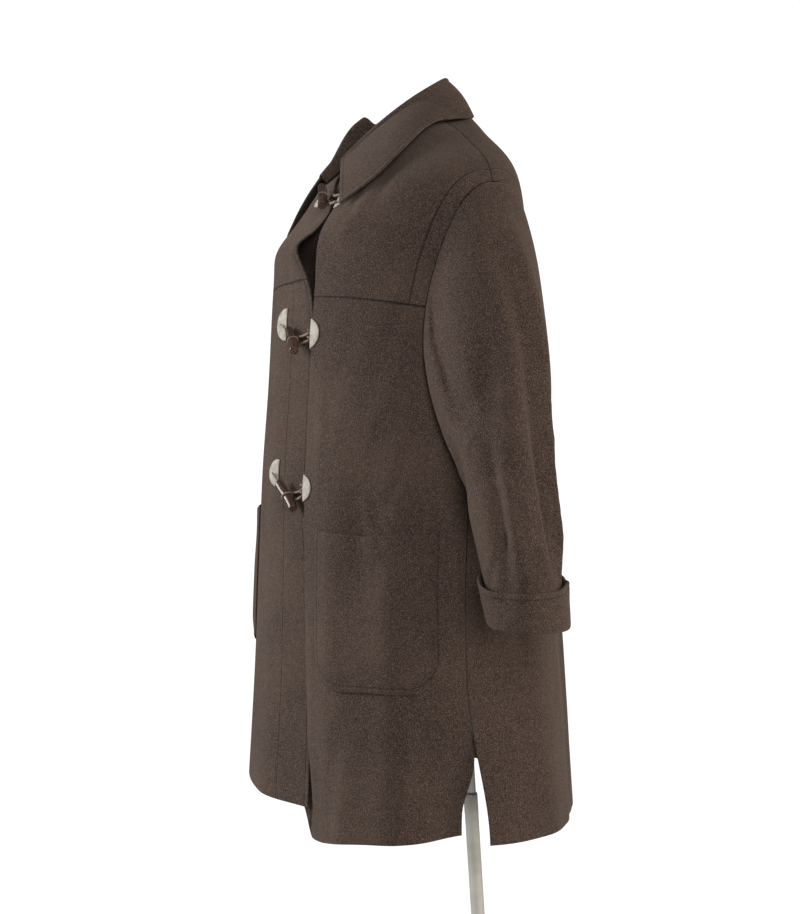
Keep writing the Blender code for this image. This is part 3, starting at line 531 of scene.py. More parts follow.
def crease_lift(across, along, rows, across_step, along_step):
    """Every crease is its height times a bell of the distance from its bowed line, and it fades in over
    the first fifth of the line and out over the last. across_step and along_step turn the two
    numbers of the surface into metres."""
    lift = np.zeros(np.broadcast(across, along).shape)
    for across_a, along_a, across_b, along_b, half_width, height, bow in rows:
        dx, dy = (across_b - across_a) * across_step, (along_b - along_a) * along_step
        length = np.hypot(dx, dy)
        x, y = (across - across_a) * across_step, (along - along_a) * along_step
        t = (x * dx + y * dy) / length**2
        off = (x * dy - y * dx) / length - bow * length * 4 * t * (1 - t)
        shows = ease(t, -0.08, 0.25) * (1 - ease(t, 0.75, 1.08))
        lift = lift + height * hump(off, 0.0, half_width) * shows
    return lift


# %% The surface itself
def ring_at(down):
    places = column(RINGS, RING_COLUMNS, "down")
    return {name: through(places, column(RINGS, RING_COLUMNS, name), down) for name in RING_COLUMNS[1:]}


def bare_body(turn, down):
    """x = half width * sin(turn)^(2/square), y = side + reach * |cos(turn)|^(2/square), and
    z = side + rise * |cos(turn)|^1.3, each size read from the rings at this share of the way down."""
    turn, down = np.broadcast_arrays(np.asarray(turn, float), np.asarray(down, float))
    r = ring_at(down)
    sine, cosine = np.sin(np.radians(turn)), np.cos(np.radians(turn))
    front = cosine > 0
    reach = np.where(front, r["y_front"] - r["y_side"], r["y_back"] - r["y_side"])
    rise = np.where(front, r["z_front"] - r["z_side"], r["z_back"] - r["z_side"])
    return np.stack([
        r["half_width"] * power(sine, 2 / r["square"]),
        r["y_side"] + reach * np.abs(cosine) ** (2 / r["square"]),
        r["z_side"] + rise * np.abs(cosine) ** 1.3,
    ], -1)


def turn_at_x(x, down):
    r = ring_at(np.asarray(down, float))
    return np.degrees(np.arcsin(power(np.clip(x / r["half_width"], -1, 1), r["square"] / 2)))


def folds_at(turn, down):
    lift = crease_lift(turn, down, CREASES, DEGREE, BODY_DROP)
    for turn_top, turn_foot, half_width, height, start, end in FOLDS:
        middle = turn_top + (turn_foot - turn_top) * down
        shows = ease(down, start, start + 0.25) * (1 - ease(down, end - 0.1, end + 0.1))
        lift = lift + height * hump(turn, middle, half_width) * shows
    return lift


def edge_x(down):
    return (
        EDGE_X_NECK
        + (EDGE_X_CHEST - EDGE_X_NECK) * ease(down, 0.0, 0.14)
        + (EDGE_X_HEM - EDGE_X_CHEST) * ease(down, 0.30, 1.05)
    )


def overlap_lift(x, down):
    depth = 0.014 * ease(down, 0.02, 0.30) + 0.012 * ease(down, 0.45, 1.0)
    return -depth * ease(x, edge_x(down) - 0.105, edge_x(down) + 0.004)


def normal_of(surface, turn, down):
    step_turn, step_down = 0.15, 0.0008
    across = surface(turn + step_turn, down) - surface(turn - step_turn, down)
    along = surface(turn, down + step_down) - surface(turn, down - step_down)
    return unit(np.cross(along, across))


def along_normal(surface, turn, down, lift):
    """The surface's points moved out by lift along its own normal."""
    turn, down = np.broadcast_arrays(np.asarray(turn, float), np.asarray(down, float))
    lift = np.broadcast_to(lift, turn.shape)
    return surface(turn, down) + normal_of(surface, turn, down) * lift[..., None]


def right_front(turn, down):
    """The upper front: its strip turns back at the free edge, and flares out at the chest."""
    x = bare_body(turn, down)[..., 0]
    flare = 0.028 * hump(down, 0.255, 0.060) + 0.004 * hump(down, 0.625, 0.035)
    lift = overlap_lift(x, down) + flare * ease(x, edge_x(down) - 0.07, edge_x(down))
    point = along_normal(bare_body, turn, down, lift + folds_at(turn, down))
    point[..., 2] += 0.022 * ease(x, -0.25, -0.11) * ease(down, 0.1, 0.3)
    return point


def left_front(turn, down):
    """The lower front: it passes under the upper one and rolls out beside its free edge."""
    x = bare_body(turn, down)[..., 0]
    edge = edge_x(down)
    under = overlap_lift(x, down) - (CLOTH + 0.0016) - 0.012 * hump(down, 0.235, 0.06)
    emerges = ease(x, edge + 0.001, edge + 0.019)
    sunk = 0.016 * ease(down, 0.55, 1.0) + 0.013 * ease(down, 0.84, 1.0)
    outside = -sunk * (1 - ease(x, edge, edge + 0.09))
    lift = under * (1 - emerges) + outside * emerges
    point = along_normal(bare_body, turn, down, lift + folds_at(turn, down))
    below_chest = ease(down, 0.6, 1.0)
    point[..., 2] -= 0.014 * (1 - ease(x, 0.10, 0.25)) * ease(x, edge - 0.02, edge + 0.006) * below_chest
    point[..., 2] += 0.026 * (1 - ease(x, edge - 0.02, edge + 0.006)) * below_chest
    point[..., 0] -= 0.022 * ease(turn, 70, 92) * ease(down, VENT_DOWN + 0.01, 1.0)
    swung = ease(turn, 70, 92) * ease(down, VENT_DOWN - 0.06, 1.0) * (1 - ease(down, 0.875, 0.97))
    point[..., 1] += 0.022 * swung
    return point


def back(turn, down):
    """The back: its lower corners swing out and back at the side vents."""
    point = along_normal(bare_body, turn, down, folds_at(turn, down))
    beside = np.maximum(hump(turn, 90, 24), hump(turn, 270, 24)) * ease(down, VENT_DOWN - 0.06, 1.0)
    point[..., 0] += 0.008 * beside * np.sign(point[..., 0])
    point[..., 1] += 0.022 * beside
    point[..., 2] -= 0.006 * beside
    return point


# %% [markdown]
# ## The body's panels
# A maker cuts a back, two fronts and two front yokes. Each is a grid on the surface that stops at its
# seams: the armhole is half an ellipse at the side, the yoke seam lies level across the chest, and the
# fronts overlap in the middle. The sewn lines beside an edge are stored as distances from that edge, and
# so is a line of painted shadow on the left front beside the upper front's free edge.

# %% Panel grids
ARMHOLE_GROW = 0.001      # a panel stops this share of the body's height outside the armhole seam
ARMHOLE_STITCH = 0.019    # metres from an edge to its row of stitches
EDGE_STITCH = 0.007
TURNED_EDGE_STITCH = 0.0065
SEAM_STITCH = 0.0004
LEFT_FRONT_PAINTED_SHADOW_LINE = 0.0014   # metres from the upper front's edge to a dark line on the left front: painted contact shadow, drawn as a sewn line


def armhole_reach(down, grow):
    """Half an ellipse: the square root of 1 - (2 share - 1)^2 between the armhole's top and foot."""
    top, foot = ARMHOLE_TOP - grow, ARMHOLE_FOOT + grow
    share = np.clip((down - top) / (foot - top), 0, 1)
    return np.sqrt(1 - (2 * share - 1) ** 2)


def side_line(down, spread):
    """Degrees of turn between the middle of the side and a panel's edge."""
    return 0.06 + (spread + 100 * ARMHOLE_GROW) * armhole_reach(down, ARMHOLE_GROW)


def panel_rows(top, foot, step=0.0045):
    """Shares of the way down, a few millimetres apart, closer where the armhole begins and ends."""
    arc = (1 - np.cos(np.linspace(0, np.pi, 46))) / 2
    armhole = ARMHOLE_TOP + (ARMHOLE_FOOT - ARMHOLE_TOP) * arc
    plain = np.linspace(0, 1, int(BODY_DROP / step))
    every = np.concatenate([plain[(plain < ARMHOLE_TOP) | (plain > ARMHOLE_FOOT)], armhole])
    every = np.sort(every[(every > top) & (every < foot)])
    return top + (foot - top) * with_rim((every - top) / (foot - top), (foot - top) * BODY_DROP)


def front_grid(side, top, foot):
    """Turns and shares of the way down for a front. side is 1 for the wearer's left."""
    down = panel_rows(top, foot)[:, None]
    inset = side_line(down, ARMHOLE_FRONT_TURN)
    under = OVERLAP * (1 - with_rim(np.linspace(0, 1, 27), OVERLAP)[:-6])
    if side > 0:
        beside = np.array([-0.002, 0.0005, 0.003, 0.0055, 0.008, 0.0105, 0.013, 0.0155, 0.019])
        strip = [turn_at_x(edge_x(down) - step, down) for step in under[under > 0.003]]
        strip += [turn_at_x(edge_x(down) + step, down) for step in beside]
        first = strip.pop()
        share = with_rim(np.linspace(0, 1, 84), 0.33)
        share = np.concatenate([[0], share[share > 0.008]])[None, :]
        turn = np.concatenate(strip + [first + (90 - inset - first) * share], axis=1)
    else:
        last = turn_at_x(edge_x(down) - OVERLAP, down)
        share = with_rim(np.linspace(0, 1, 84), 0.33)[:-6][None, :]
        near_edge = OVERLAP * (1 - with_rim(np.linspace(0, 1, 27), OVERLAP))[6:]
        steps = np.concatenate([[OVERLAP], near_edge])
        strip = [turn_at_x(edge_x(down) - step, down) for step in steps]
        turn = np.concatenate([(inset - 90) + (last - (inset - 90)) * share] + strip, axis=1)
    return turn, np.broadcast_to(down, turn.shape)


def edge_line(surface, turn, down):
    """A closely spaced line of points on a surface."""
    return along_normal(surface, turn, down, -CLOTH / 2).reshape(-1, 3)


def off_line(away, first, second=None):
    """Signed distance from a line that runs first metres from an edge. With a second, a curve that is zero
    on both lines: (away - first)(away - second) / (second - first)."""
    if second is None:
        return away - first
    return (away - first) * (away - second) / (second - first)


def panel(name, surface, turn, down, lines):
    """A panel's wall, its outer face on the surface. lines names each sewn line, and the painted shadow line
    on the left front, and holds the edge it follows and its distance or two distances from that edge."""
    middle = along_normal(surface, turn, down, -CLOTH / 2)
    normal = normal_of(surface, turn, down)
    away = {
        key: 1.0 + off_line(distance_to(middle, line), *offsets)
        for key, (line, *offsets) in lines.items()
    }
    return cloth_wall(name, middle, normal, CLOTH, (wool, lining), lines=away)


# %% Fronts, yokes and back
def armhole_edge(surface, side, spread, centre):
    """The armhole's edge on one panel, as a line."""
    down = ARMHOLE_TOP + (ARMHOLE_FOOT - ARMHOLE_TOP) * (1 - np.cos(np.linspace(0, np.pi, 220))) / 2
    return edge_line(surface, centre + side * side_line(down, spread), down)


coat = {}
level = np.linspace(0, 1, 300)
for label, side, surface in (("left", 1, left_front), ("right", -1, right_front)):
    armhole = armhole_edge(surface, -side, ARMHOLE_FRONT_TURN, 90 * side)
    free = edge_line(surface, turn_at_x(edge_x(level), level), level)
    seam = edge_line(surface, np.linspace(-90, 90, 400), YOKE_DOWN)
    turn, down = front_grid(side, 0.0, YOKE_DOWN)
    coat[f"yoke_{label}"] = panel(
        f"wool_yoke_{label}", surface, turn, down,
        {"line_1": (armhole, ARMHOLE_STITCH), "line_2": (seam, SEAM_STITCH),
         "line_3": (free, EDGE_STITCH if side < 0 else FAR)},
    )
    turn, down = front_grid(side, YOKE_DOWN, 1.0)
    # on the left front, line_1 is painted shadow: a dark line beside where the right front's edge lies on it
    coat[f"front_{label}"] = panel(
        f"wool_front_{label}", surface, turn, down,
        {"line_1": (free, FAR if side < 0 else LEFT_FRONT_PAINTED_SHADOW_LINE), "line_2": (seam, SEAM_STITCH),
         "line_3": (free, EDGE_STITCH, 0.042 + 0.020 * down) if side < 0 else (free, FAR)},
    )

down = panel_rows(0.0, 1.0)[:, None]
inset = side_line(down, ARMHOLE_BACK_TURN)
turn = 90 + inset + (180 - 2 * inset) * with_rim(np.linspace(0, 1, 150), 0.62)[None, :]
armholes = np.concatenate([
    armhole_edge(back, 1, ARMHOLE_BACK_TURN, 90), armhole_edge(back, -1, ARMHOLE_BACK_TURN, 270),
])
down = np.broadcast_to(down, turn.shape)
coat["back"] = panel("wool_back", back, turn, down, {"line_1": (armholes, ARMHOLE_STITCH)})
for key, piece in coat.items():
    print(key, "cut", round(piece["cut_width"], 3), "x", round(piece["cut_length"], 3), "m")

# %% [markdown]
# ## Sleeves and cuffs
# A sleeve leaves the armhole, drops straight under its own weight and narrows towards the wrist. Its
# two long folds run from the shoulder point to the cuff, and short slack creases cross it at the elbow.
# The cuff is the sleeve's own end, turned up and held by a few stitches.

# %% Sleeve surface
SLEEVE_END_Z, CUFF_TOP_Z, CUFF_FOOT_Z = 0.762, 0.803, 0.757
SLEEVE_COLUMNS = ("along", "x", "y", "half_x", "half_y")
SLEEVE_RINGS = (
    (0.00, 0.296, -0.112, 0.048, 0.066),
    (0.35, 0.307, -0.101, 0.048, 0.060),
    (0.60, 0.315, -0.107, 0.046, 0.042),
    (0.80, 0.321, -0.101, 0.044, 0.038),
    (1.00, 0.326, -0.090, 0.041, 0.039),
)
DART_DEPTH, DART_ROUND = 0.014, 72.0      # the slack that falls in beside the armhole in front
SLEEVE_FOLDS = (
    # degrees round at the top, the same at the foot, half width, height, start, end
    (2.0, -72.0, 11.0, 0.008, 0.02, 0.95),
    (24.0, -46.0, 9.0, -0.006, 0.04, 0.95),
    (36.0, 52.0, 14.0, -0.009, 0.30, 1.00),
    (70.0, 22.0, 11.0, 0.006, 0.10, 1.00),
    (-40.0, -110.0, 12.0, -0.008, 0.10, 0.95),
    (118.0, 112.0, 16.0, -0.008, 0.04, 0.60),
    (-140.0, -150.0, 18.0, -0.005, 0.20, 0.90),
)
SLEEVE_CREASES = (
    # degrees round and share along at one end, the same at the other, half width, height, bow
    (2.0, 0.02, -72.0, 0.98, 0.0045, 0.0052, 0.0),
    (88.0, 0.34, 44.0, 0.46, 0.007, -0.0014, 0.08),
    (96.0, 0.46, 34.0, 0.58, 0.008, 0.0014, -0.06),
    (80.0, 0.58, 24.0, 0.68, 0.007, -0.0016, 0.06),
    (60.0, 0.64, 4.0, 0.76, 0.008, 0.0016, -0.05),
    (-10.0, 0.40, -60.0, 0.52, 0.009, -0.0018, 0.06),
    (-30.0, 0.56, -80.0, 0.70, 0.008, 0.0018, -0.05),
    (10.0, 0.16, 26.0, 0.34, 0.010, -0.0018, 0.05),
    (-20.0, 0.12, -34.0, 0.36, 0.011, 0.0016, 0.05),
    (150.0, 0.30, 100.0, 0.46, 0.008, 0.0020, 0.05),
    (-150.0, 0.42, -100.0, 0.58, 0.009, -0.0022, -0.05),
    (40.0, 0.78, 90.0, 0.90, 0.008, -0.0018, 0.05),
    (-60.0, 0.76, -100.0, 0.92, 0.009, 0.0016, 0.04),
    (0.0, 0.70, 14.0, 0.96, 0.009, 0.0014, 0.04),
)
ARMHOLE_SHRINK = 0.0016      # the sleeve starts this share of the body's height inside the armhole seam
print(len(SLEEVE_FOLDS), "long folds and", len(SLEEVE_CREASES), "creases on each sleeve")


def armhole_point(around, shrink, lift):
    """A point of the armhole's edge: around is 0 at the shoulder and a quarter turn at the front."""
    share = (1 - np.cos(around)) / 2
    down = ARMHOLE_TOP + shrink + (ARMHOLE_FOOT - ARMHOLE_TOP - 2 * shrink) * share
    reach = armhole_reach(down, -shrink)
    to_front = np.sin(around) >= 0
    spread = np.where(to_front, ARMHOLE_FRONT_TURN, ARMHOLE_BACK_TURN) - 100 * shrink
    return along_normal(bare_body, 90 - np.where(to_front, 1, -1) * spread * reach, down, lift)


def sleeve_surface(around, along):
    """From the armhole's edge to rings of half_x and half_y round the arm's line: x drifts out early as
    1 - (1 - travel)^3, y by a soft step, and z falls evenly with a small sag on the outside."""
    around, along = np.broadcast_arrays(around, along)
    low = (1 - np.cos(around)) / 2
    stands_off = (0.0035 + 0.0035 * low) * ease(along, -0.02, 0.03)
    start = armhole_point(around, ARMHOLE_SHRINK, -0.0012 + stands_off)
    places = column(SLEEVE_RINGS, SLEEVE_COLUMNS, "along")
    x, y, half_x, half_y = (
        through(places, column(SLEEVE_RINGS, SLEEVE_COLUMNS, name), along) for name in SLEEVE_COLUMNS[1:]
    )
    degrees = (np.degrees(around) + 180) % 360 - 180
    fold = crease_lift(degrees, along, SLEEVE_CREASES, 0.00085, 0.47)
    for round_top, round_foot, half_width, height, first, last in SLEEVE_FOLDS:
        middle = round_top + (round_foot - round_top) * along
        away = (degrees - middle + 180) % 360 - 180
        rise = height * hump(away, 0, half_width) * ease(along, first, first + 0.15)
        fold = fold + rise * (1 - ease(along, last - 0.2, last))
    travel = np.clip((along - 0.03) / 0.97, 0, None)
    drift_x = 1 - np.clip(1 - travel, 0, None) ** 3
    drift_y = ease(travel, 0.0, 0.45)
    point = np.empty(around.shape + (3,))
    point[..., 0] = start[..., 0] + (x + (half_x + fold) * np.cos(around) - start[..., 0]) * drift_x
    dart = DART_DEPTH * hump(degrees, DART_ROUND, 11.0) * ease(along, 0.01, 0.16)
    point[..., 0] -= dart * (1 - ease(along, 0.28, 0.46))
    point[..., 1] = start[..., 1] + (y - (half_y + fold) * np.sin(around) - start[..., 1]) * drift_y
    sag = 0.018 * np.cos(around) * along * (1 - along)
    point[..., 2] = start[..., 2] + (SLEEVE_END_Z - start[..., 2]) * travel + sag
    return point


def sleeve_normal(around, along):
    step = 0.01
    across = sleeve_surface(around + step, along) - sleeve_surface(around - step, along)
    downward = sleeve_surface(around, along + step) - sleeve_surface(around, along - step)
    return -unit(np.cross(downward, across))


# %% Sleeves
sleeve_round = np.radians(np.arange(0, 360, 2.5))[None, :]
sleeve_along = with_rim(np.linspace(0, 1, 110), 0.50)[:, None]
normal = sleeve_normal(sleeve_round, sleeve_along)
middle = sleeve_surface(sleeve_round, sleeve_along) - normal * CLOTH / 2
seam_round = np.radians(178.0)
under_seam = sleeve_surface(np.full(200, seam_round), np.linspace(0.02, 1, 200))
away = {"line_3": 1.0 + distance_to(middle, under_seam)}
flip = np.array([-1.0, 1.0, 1.0])
coat["sleeve_left"] = cloth_wall(
    "wool_sleeve_left", middle[:, ::-1], normal[:, ::-1], CLOTH, (wool, lining), round_tube=True,
    lines={key: value[:, ::-1] for key, value in away.items()},
)
coat["sleeve_right"] = cloth_wall(
    "wool_sleeve_right", middle * flip, normal * flip, CLOTH, (wool, lining), round_tube=True, lines=away,
)
print("sleeves", round(coat["sleeve_left"]["cut_length"], 3), "m long")

# %% Cuffs
CUFF_LINE = (
    (0.0076, CUFF_TOP_Z),
    (0.0070, 0.790),
    (0.0064, 0.776),
    (0.0058, CUFF_FOOT_Z + 0.008),
    (0.0052, CUFF_FOOT_Z + 0.003),
    (0.0036, CUFF_FOOT_Z + 0.0008),
    (0.0014, CUFF_FOOT_Z + 0.0006),
    (-0.0008, CUFF_FOOT_Z + 0.0014),
    (-0.0013, SLEEVE_END_Z - 0.0022),
)


def cuff_point(around, out, z):
    """Beside the sleeve: out from its surface at this height, the rim rising and falling a little."""
    top = armhole_point(around, ARMHOLE_SHRINK, 0.0)[..., 2]
    along = 0.03 + 0.97 * (top - z) / (top - SLEEVE_END_Z)
    point = sleeve_surface(around, along) + sleeve_normal(around, along) * out[..., None]
    rim = ease(z, CUFF_FOOT_Z + 0.01, CUFF_TOP_Z)
    foot = (1 - rim) * np.clip(out / 0.005, 0, 1)
    wave = 0.0012 * np.sin(3 * around + 0.7) * rim
    rise = 0.004 - 0.010 * np.cos(around) - 0.005 * np.sin(around)
    point[..., 2] = z + rise * rim - 0.003 * foot * np.cos(around) + wave
    return point


stations = np.arange(len(CUFF_LINE), dtype=float)
at = (len(CUFF_LINE) - 1) * with_rim(np.linspace(0, 1, 44), 0.055)[:, None]
cuff_out = through(stations, np.array([row[0] for row in CUFF_LINE]), at)
cuff_z = through(stations, np.array([row[1] for row in CUFF_LINE]), at)
middle = cuff_point(*np.broadcast_arrays(sleeve_round, cuff_out, cuff_z))
round_step = np.roll(middle, -1, axis=1) - np.roll(middle, 1, axis=1)
normal = unit(np.cross(round_step, np.gradient(middle, axis=0)))
away = {"line_3": 1.0 + along_rows(middle) - TURNED_EDGE_STITCH}
coat["cuff_left"] = cloth_wall(
    "wool_cuff_left", middle[:, ::-1], normal[:, ::-1], CLOTH, (wool,), round_tube=True,
    lines={key: value[:, ::-1] for key, value in away.items()},
)
coat["cuff_right"] = cloth_wall(
    "wool_cuff_right", middle * flip, normal * flip, CLOTH, (wool,), round_tube=True, lines=away,
)
print("cuffs", round(coat["cuff_left"]["cut_length"], 3), "m of cloth from the rim to the sleeve's end")

# %% [markdown]
# ## The collar
# A turn-down collar is a stand and a fall in one. At each station round the neck the cloth goes up from
# the seam, over a small round fold and down to its outer edge, and at the fronts it ends in a point. A
# row of stitches runs just inside the edge.

# %% Collar
COLLAR_COLUMNS = ("turn", "fold_x", "fold_y", "fold_z", "edge_turn", "edge_down", "edge_lift")
COLLAR_STATIONS = (
    (180.0, 0.000, -0.074, 1.432, 180.0, 0.034, 0.0030),
    (150.0, 0.034, -0.081, 1.429, 150.0, 0.033, 0.0026),
    (120.0, 0.056, -0.104, 1.414, 120.0, 0.029, 0.0028),
    (95.0, 0.068, -0.132, 1.395, 94.0, 0.024, 0.007),
    (75.0, 0.073, -0.160, 1.374, 79.0, 0.048, 0.009),
    (55.0, 0.072, -0.187, 1.351, 64.0, 0.090, 0.010),
    (38.0, 0.061, -0.209, 1.329, 51.0, 0.124, 0.008),
    (25.0, 0.048, -0.2240, 1.312, 36.0, 0.148, 0.008),
)
COLLAR_CLOTH, COLLAR_ROOM, RIGHT_LEAF_RISE = 0.0030, 0.0042, 0.022


def collar_middle(place, across):
    """place runs from -1 to 1 round the neck, and across from 0 at the seam to 2 at the outer edge. The
    fold is half a circle between 0.8 and 1.25, with straight cloth before it and bulging cloth after."""
    places = np.linspace(0, 1, len(COLLAR_STATIONS))
    turn, fold_x, fold_y, fold_z, edge_turn, edge_down, edge_lift = (
        through(places, column(COLLAR_STATIONS, COLLAR_COLUMNS, name), np.abs(place))
        for name in COLLAR_COLUMNS
    )
    seam = along_normal(bare_body, turn, -0.0062, -0.0013)
    edge = along_normal(bare_body, edge_turn, edge_down, edge_lift)
    fold_z = fold_z + RIGHT_LEAF_RISE * ease(-place, 0.47, 0.57) * (1 - ease(-place, 0.62, 0.86))
    fold = np.stack([fold_x, fold_y, fold_z], -1)
    out = unit((edge - fold) * (1, 1, 0))
    up = np.array([0, 0, 1.0])
    t = across[..., None]
    rise = seam + (fold - out * COLLAR_ROOM - up * 0.004 - seam) * t / 0.8
    a = np.pi * (t - 0.8) / 0.45
    over = fold - up * 0.004 - out * COLLAR_ROOM * np.cos(a) + up * COLLAR_ROOM * np.sin(a)
    s = (t - 1.25) / 0.75
    start = fold + out * COLLAR_ROOM - up * 0.004
    fall = start + (edge - start) * s + (out * 0.5 + up * 0.6) * 0.006 * np.sin(np.pi * s)
    point = np.where(t <= 0.8, rise, np.where(t < 1.25, over, fall))
    point[..., 0] *= np.where(place < 0, -1.0, 1.0)
    return point


ends = with_rim(np.linspace(0, 1, 150), 0.5)
place, across = np.meshgrid(2 * ends - 1, 2 * with_rim(np.linspace(0, 1, 60), 0.125), indexing="ij")
middle = collar_middle(place, across)
normal = unit(np.cross(np.gradient(middle, axis=0), np.gradient(middle, axis=1)))
around_edge = along_columns(middle)
from_rim = around_edge[:, -1:] - around_edge
from_ends = np.minimum(along_rows(middle), along_rows(middle)[-1:] - along_rows(middle))
from_ends = np.where(across > 1.2, from_ends, 1.0)
away = {"line_3": 1.0 + np.minimum(from_rim, from_ends) - TURNED_EDGE_STITCH}
coat["collar"] = cloth_wall("wool_collar", middle, normal, COLLAR_CLOTH, (wool,), lines=away)
print("collar", round(coat["collar"]["cut_length"], 3), "m round")

# %% [markdown]
# ## Pockets
# A patch pocket is a square of cloth with two round corners, sewn down on three sides. Its sewn sides
# press close to the front, the middle stands off it a little, and its mouth hangs open by a finger.

# %% Patch pockets
POCKET_WIDTH, POCKET_HEIGHT, POCKET_CORNER, POCKET_TOP_DOWN = 0.164, 0.184, 0.045, 0.607


def arc_per_degree(surface, turn, down):
    """Metres to one degree of turn, measured across 24 degrees."""
    ends = surface(np.array([turn - 12.0, turn + 12.0]), np.array([down, down]))
    return float(np.linalg.norm(ends[1] - ends[0])) / 24


def pocket_half(rows):
    """Half the pocket's width: straight sides, and a quarter circle at each lower corner."""
    below = np.clip(rows * POCKET_HEIGHT - (POCKET_HEIGHT - POCKET_CORNER), 0, None)
    return POCKET_WIDTH / 2 - POCKET_CORNER + np.sqrt(np.clip(POCKET_CORNER**2 - below**2, 0, None))


for label, side, surface, middle_turn in (("left", 1, left_front, 58.0), ("right", -1, right_front, -48.0)):
    bend = 1 - POCKET_CORNER / POCKET_HEIGHT
    round_corner = bend + (1 - bend) * np.sin(np.linspace(0, np.pi / 2, 26))
    rows = np.concatenate([np.linspace(0, bend, 36)[:-1], round_corner])
    rows = with_rim(rows, POCKET_HEIGHT)[:, None]
    across = 2 * with_rim(np.linspace(0, 1, 52), POCKET_WIDTH)[None, :] - 1
    offset = pocket_half(rows) * across
    sag = 0.005 * (1 - across**2) * (1 - rows)
    down = POCKET_TOP_DOWN + (rows * POCKET_HEIGHT + sag) / BODY_DROP
    turn = middle_turn + side * offset / arc_per_degree(surface, middle_turn, 0.7)
    if side < 0:
        turn, down, offset = turn[:, ::-1], down[:, ::-1], offset[:, ::-1]
    flat = np.stack([offset, rows * POCKET_HEIGHT + 0 * offset, 0 * offset], -1)
    outline = np.linspace(0, 1, 500)
    half = pocket_half(outline)
    one_side = np.stack([half, outline * POCKET_HEIGHT, 0 * half], -1)
    foot = np.linspace(-1, 1, 120) * pocket_half(np.array(1.0))
    foot = np.stack([foot, 0 * foot + POCKET_HEIGHT, 0 * foot], -1)
    sewn_edge = np.concatenate([one_side, one_side * (-1, 1, 1), foot])
    from_sewn = distance_to(flat, sewn_edge)
    from_mouth = flat[..., 1]
    gape = 0.0035 * hump(from_mouth, 0.0, 0.03) * ease(from_sewn, 0.0, 0.05)
    swell = 0.0026 * ease(from_sewn, 0.004, 0.03) + gape
    lift = 0.0012 + CLOTH - 0.0010 * (1 - ease(from_sewn, 0.0, 0.004)) + swell
    middle = along_normal(surface, turn, down, lift - CLOTH / 2)
    normal = unit(np.cross(np.gradient(middle, axis=0), np.gradient(middle, axis=1)))
    away = {"line_3": 1.0 + from_sewn - EDGE_STITCH}
    piece = cloth_wall(f"wool_pocket_{label}", middle, normal, CLOTH, (wool, wool), lines=away)
    coat[f"pocket_{label}"] = piece
    print("pocket", label, round(piece["cut_width"], 3), "x", round(piece["cut_length"], 3), "m")

# %% [markdown]
# ## Leather patches, thongs and horn toggles
# Each fastening has two half-moon leather patches. A thong is sewn under the patch on the upper front
# and carries the toggle, a loop comes out of the patch on the lower front, and the toggle lies across
# the loop. The fittings follow the same surfaces as the cloth, moved out by what they lie on.


# %% Leather and horn
def leather_material(name, pale, deep, roughness, grain):
    made, tree, shader = new_material(name, roughness)
    place = object_place(tree)
    cells = node(tree, "ShaderNodeTexVoronoi", Scale=grain)
    tree.links.new(place, cells.inputs["Vector"])
    pores = cells.outputs["Distance"]
    worn = noise(tree, place, 90.0, 4.0, 0.6)
    colour = mixed(tree, stepped(tree, worn, 0.38, 0.66), pale, deep)
    colour = mixed(tree, times(tree, stepped(tree, pores, 0.45, 0.05), 0.3), colour, deep)
    tree.links.new(colour, shader.inputs["Base Color"])
    bumped(tree, shader, plus(tree, pores, times(tree, worn, 0.8)), 0.5, 0.0004)
    return made


def horn_material():
    made, tree, shader = new_material("polished_horn", 0.24, coat=0.4, coat_roughness=0.15)
    grain_place = node(tree, "ShaderNodeAttribute", attribute_name="grain").outputs["Vector"]
    streaks = noise(tree, grain_place, 3.0, 4.0, 0.6)
    fine = noise(tree, grain_place, 14.0, 2.0, 0.5)
    colour = mixed(tree, stepped(tree, streaks, 0.36, 0.66), (0.046, 0.021, 0.015), (0.150, 0.086, 0.062))
    colour = mixed(tree, times(tree, stepped(tree, fine, 0.5, 0.75), 0.35), colour, (0.22, 0.16, 0.13))
    tree.links.new(colour, shader.inputs["Base Color"])
    bumped(tree, shader, fine, 0.25, 0.0003)
    return made


patch_leather = leather_material("chalk_leather", (0.78, 0.75, 0.68), (0.56, 0.52, 0.45), 0.62, 900.0)
thong_leather = leather_material("tan_thong", (0.42, 0.33, 0.25), (0.24, 0.17, 0.12), 0.6, 700.0)
thread = leather_material("waxed_thread", (0.55, 0.50, 0.43), (0.40, 0.35, 0.29), 0.7, 1500.0)
horn = horn_material()
print("finishes:", patch_leather.name, thong_leather.name, thread.name, horn.name)

# %% Where the fastenings lie
FASTENINGS = (
    # heights of the right patch, the left patch and the toggle, their x in the same order, the lean
    (1.264, 1.250, 1.256, 0.040, 0.100, 0.068, 0.74, -0.12, -0.66),
    (1.108, 1.090, 1.085, 0.026, 0.0945, 0.058, 0.70, -0.68, -0.35),
    (0.922, 0.904, 0.894, 0.028, 0.1000, 0.066, 0.75, 0.24, -0.62),
)
TOGGLE_LENGTH, TOGGLE_RADIUS, TOGGLE_STAND = 0.050, 0.0056, 0.0068
PATCH_HEIGHT, PATCH_WIDTH, PATCH_LEATHER = 0.036, 0.026, 0.0016
PATCH_GAP, PATCH_BOW, PATCH_RIM = 0.0004, 0.0015, 0.0008      # the bow of the patch's straight side
LIE_GAP, CORD_RADIUS, LOOP_HALF = 0.0010, 0.0016, 0.0044


def surface_at(surface, x, z):
    """Turn and share of the way down where a front passes this x and height, found by halving."""
    low, high = 0.0, 1.0
    for _ in range(30):
        half_way = (low + high) / 2
        if surface(turn_at_x(x, half_way), np.array(half_way))[..., 2] > z:
            low = half_way
        else:
            high = half_way
    return float(turn_at_x(x, low)), low


def over(surface, x, z, lift):
    turn, down = surface_at(surface, x, z)
    return along_normal(surface, turn, down, lift)


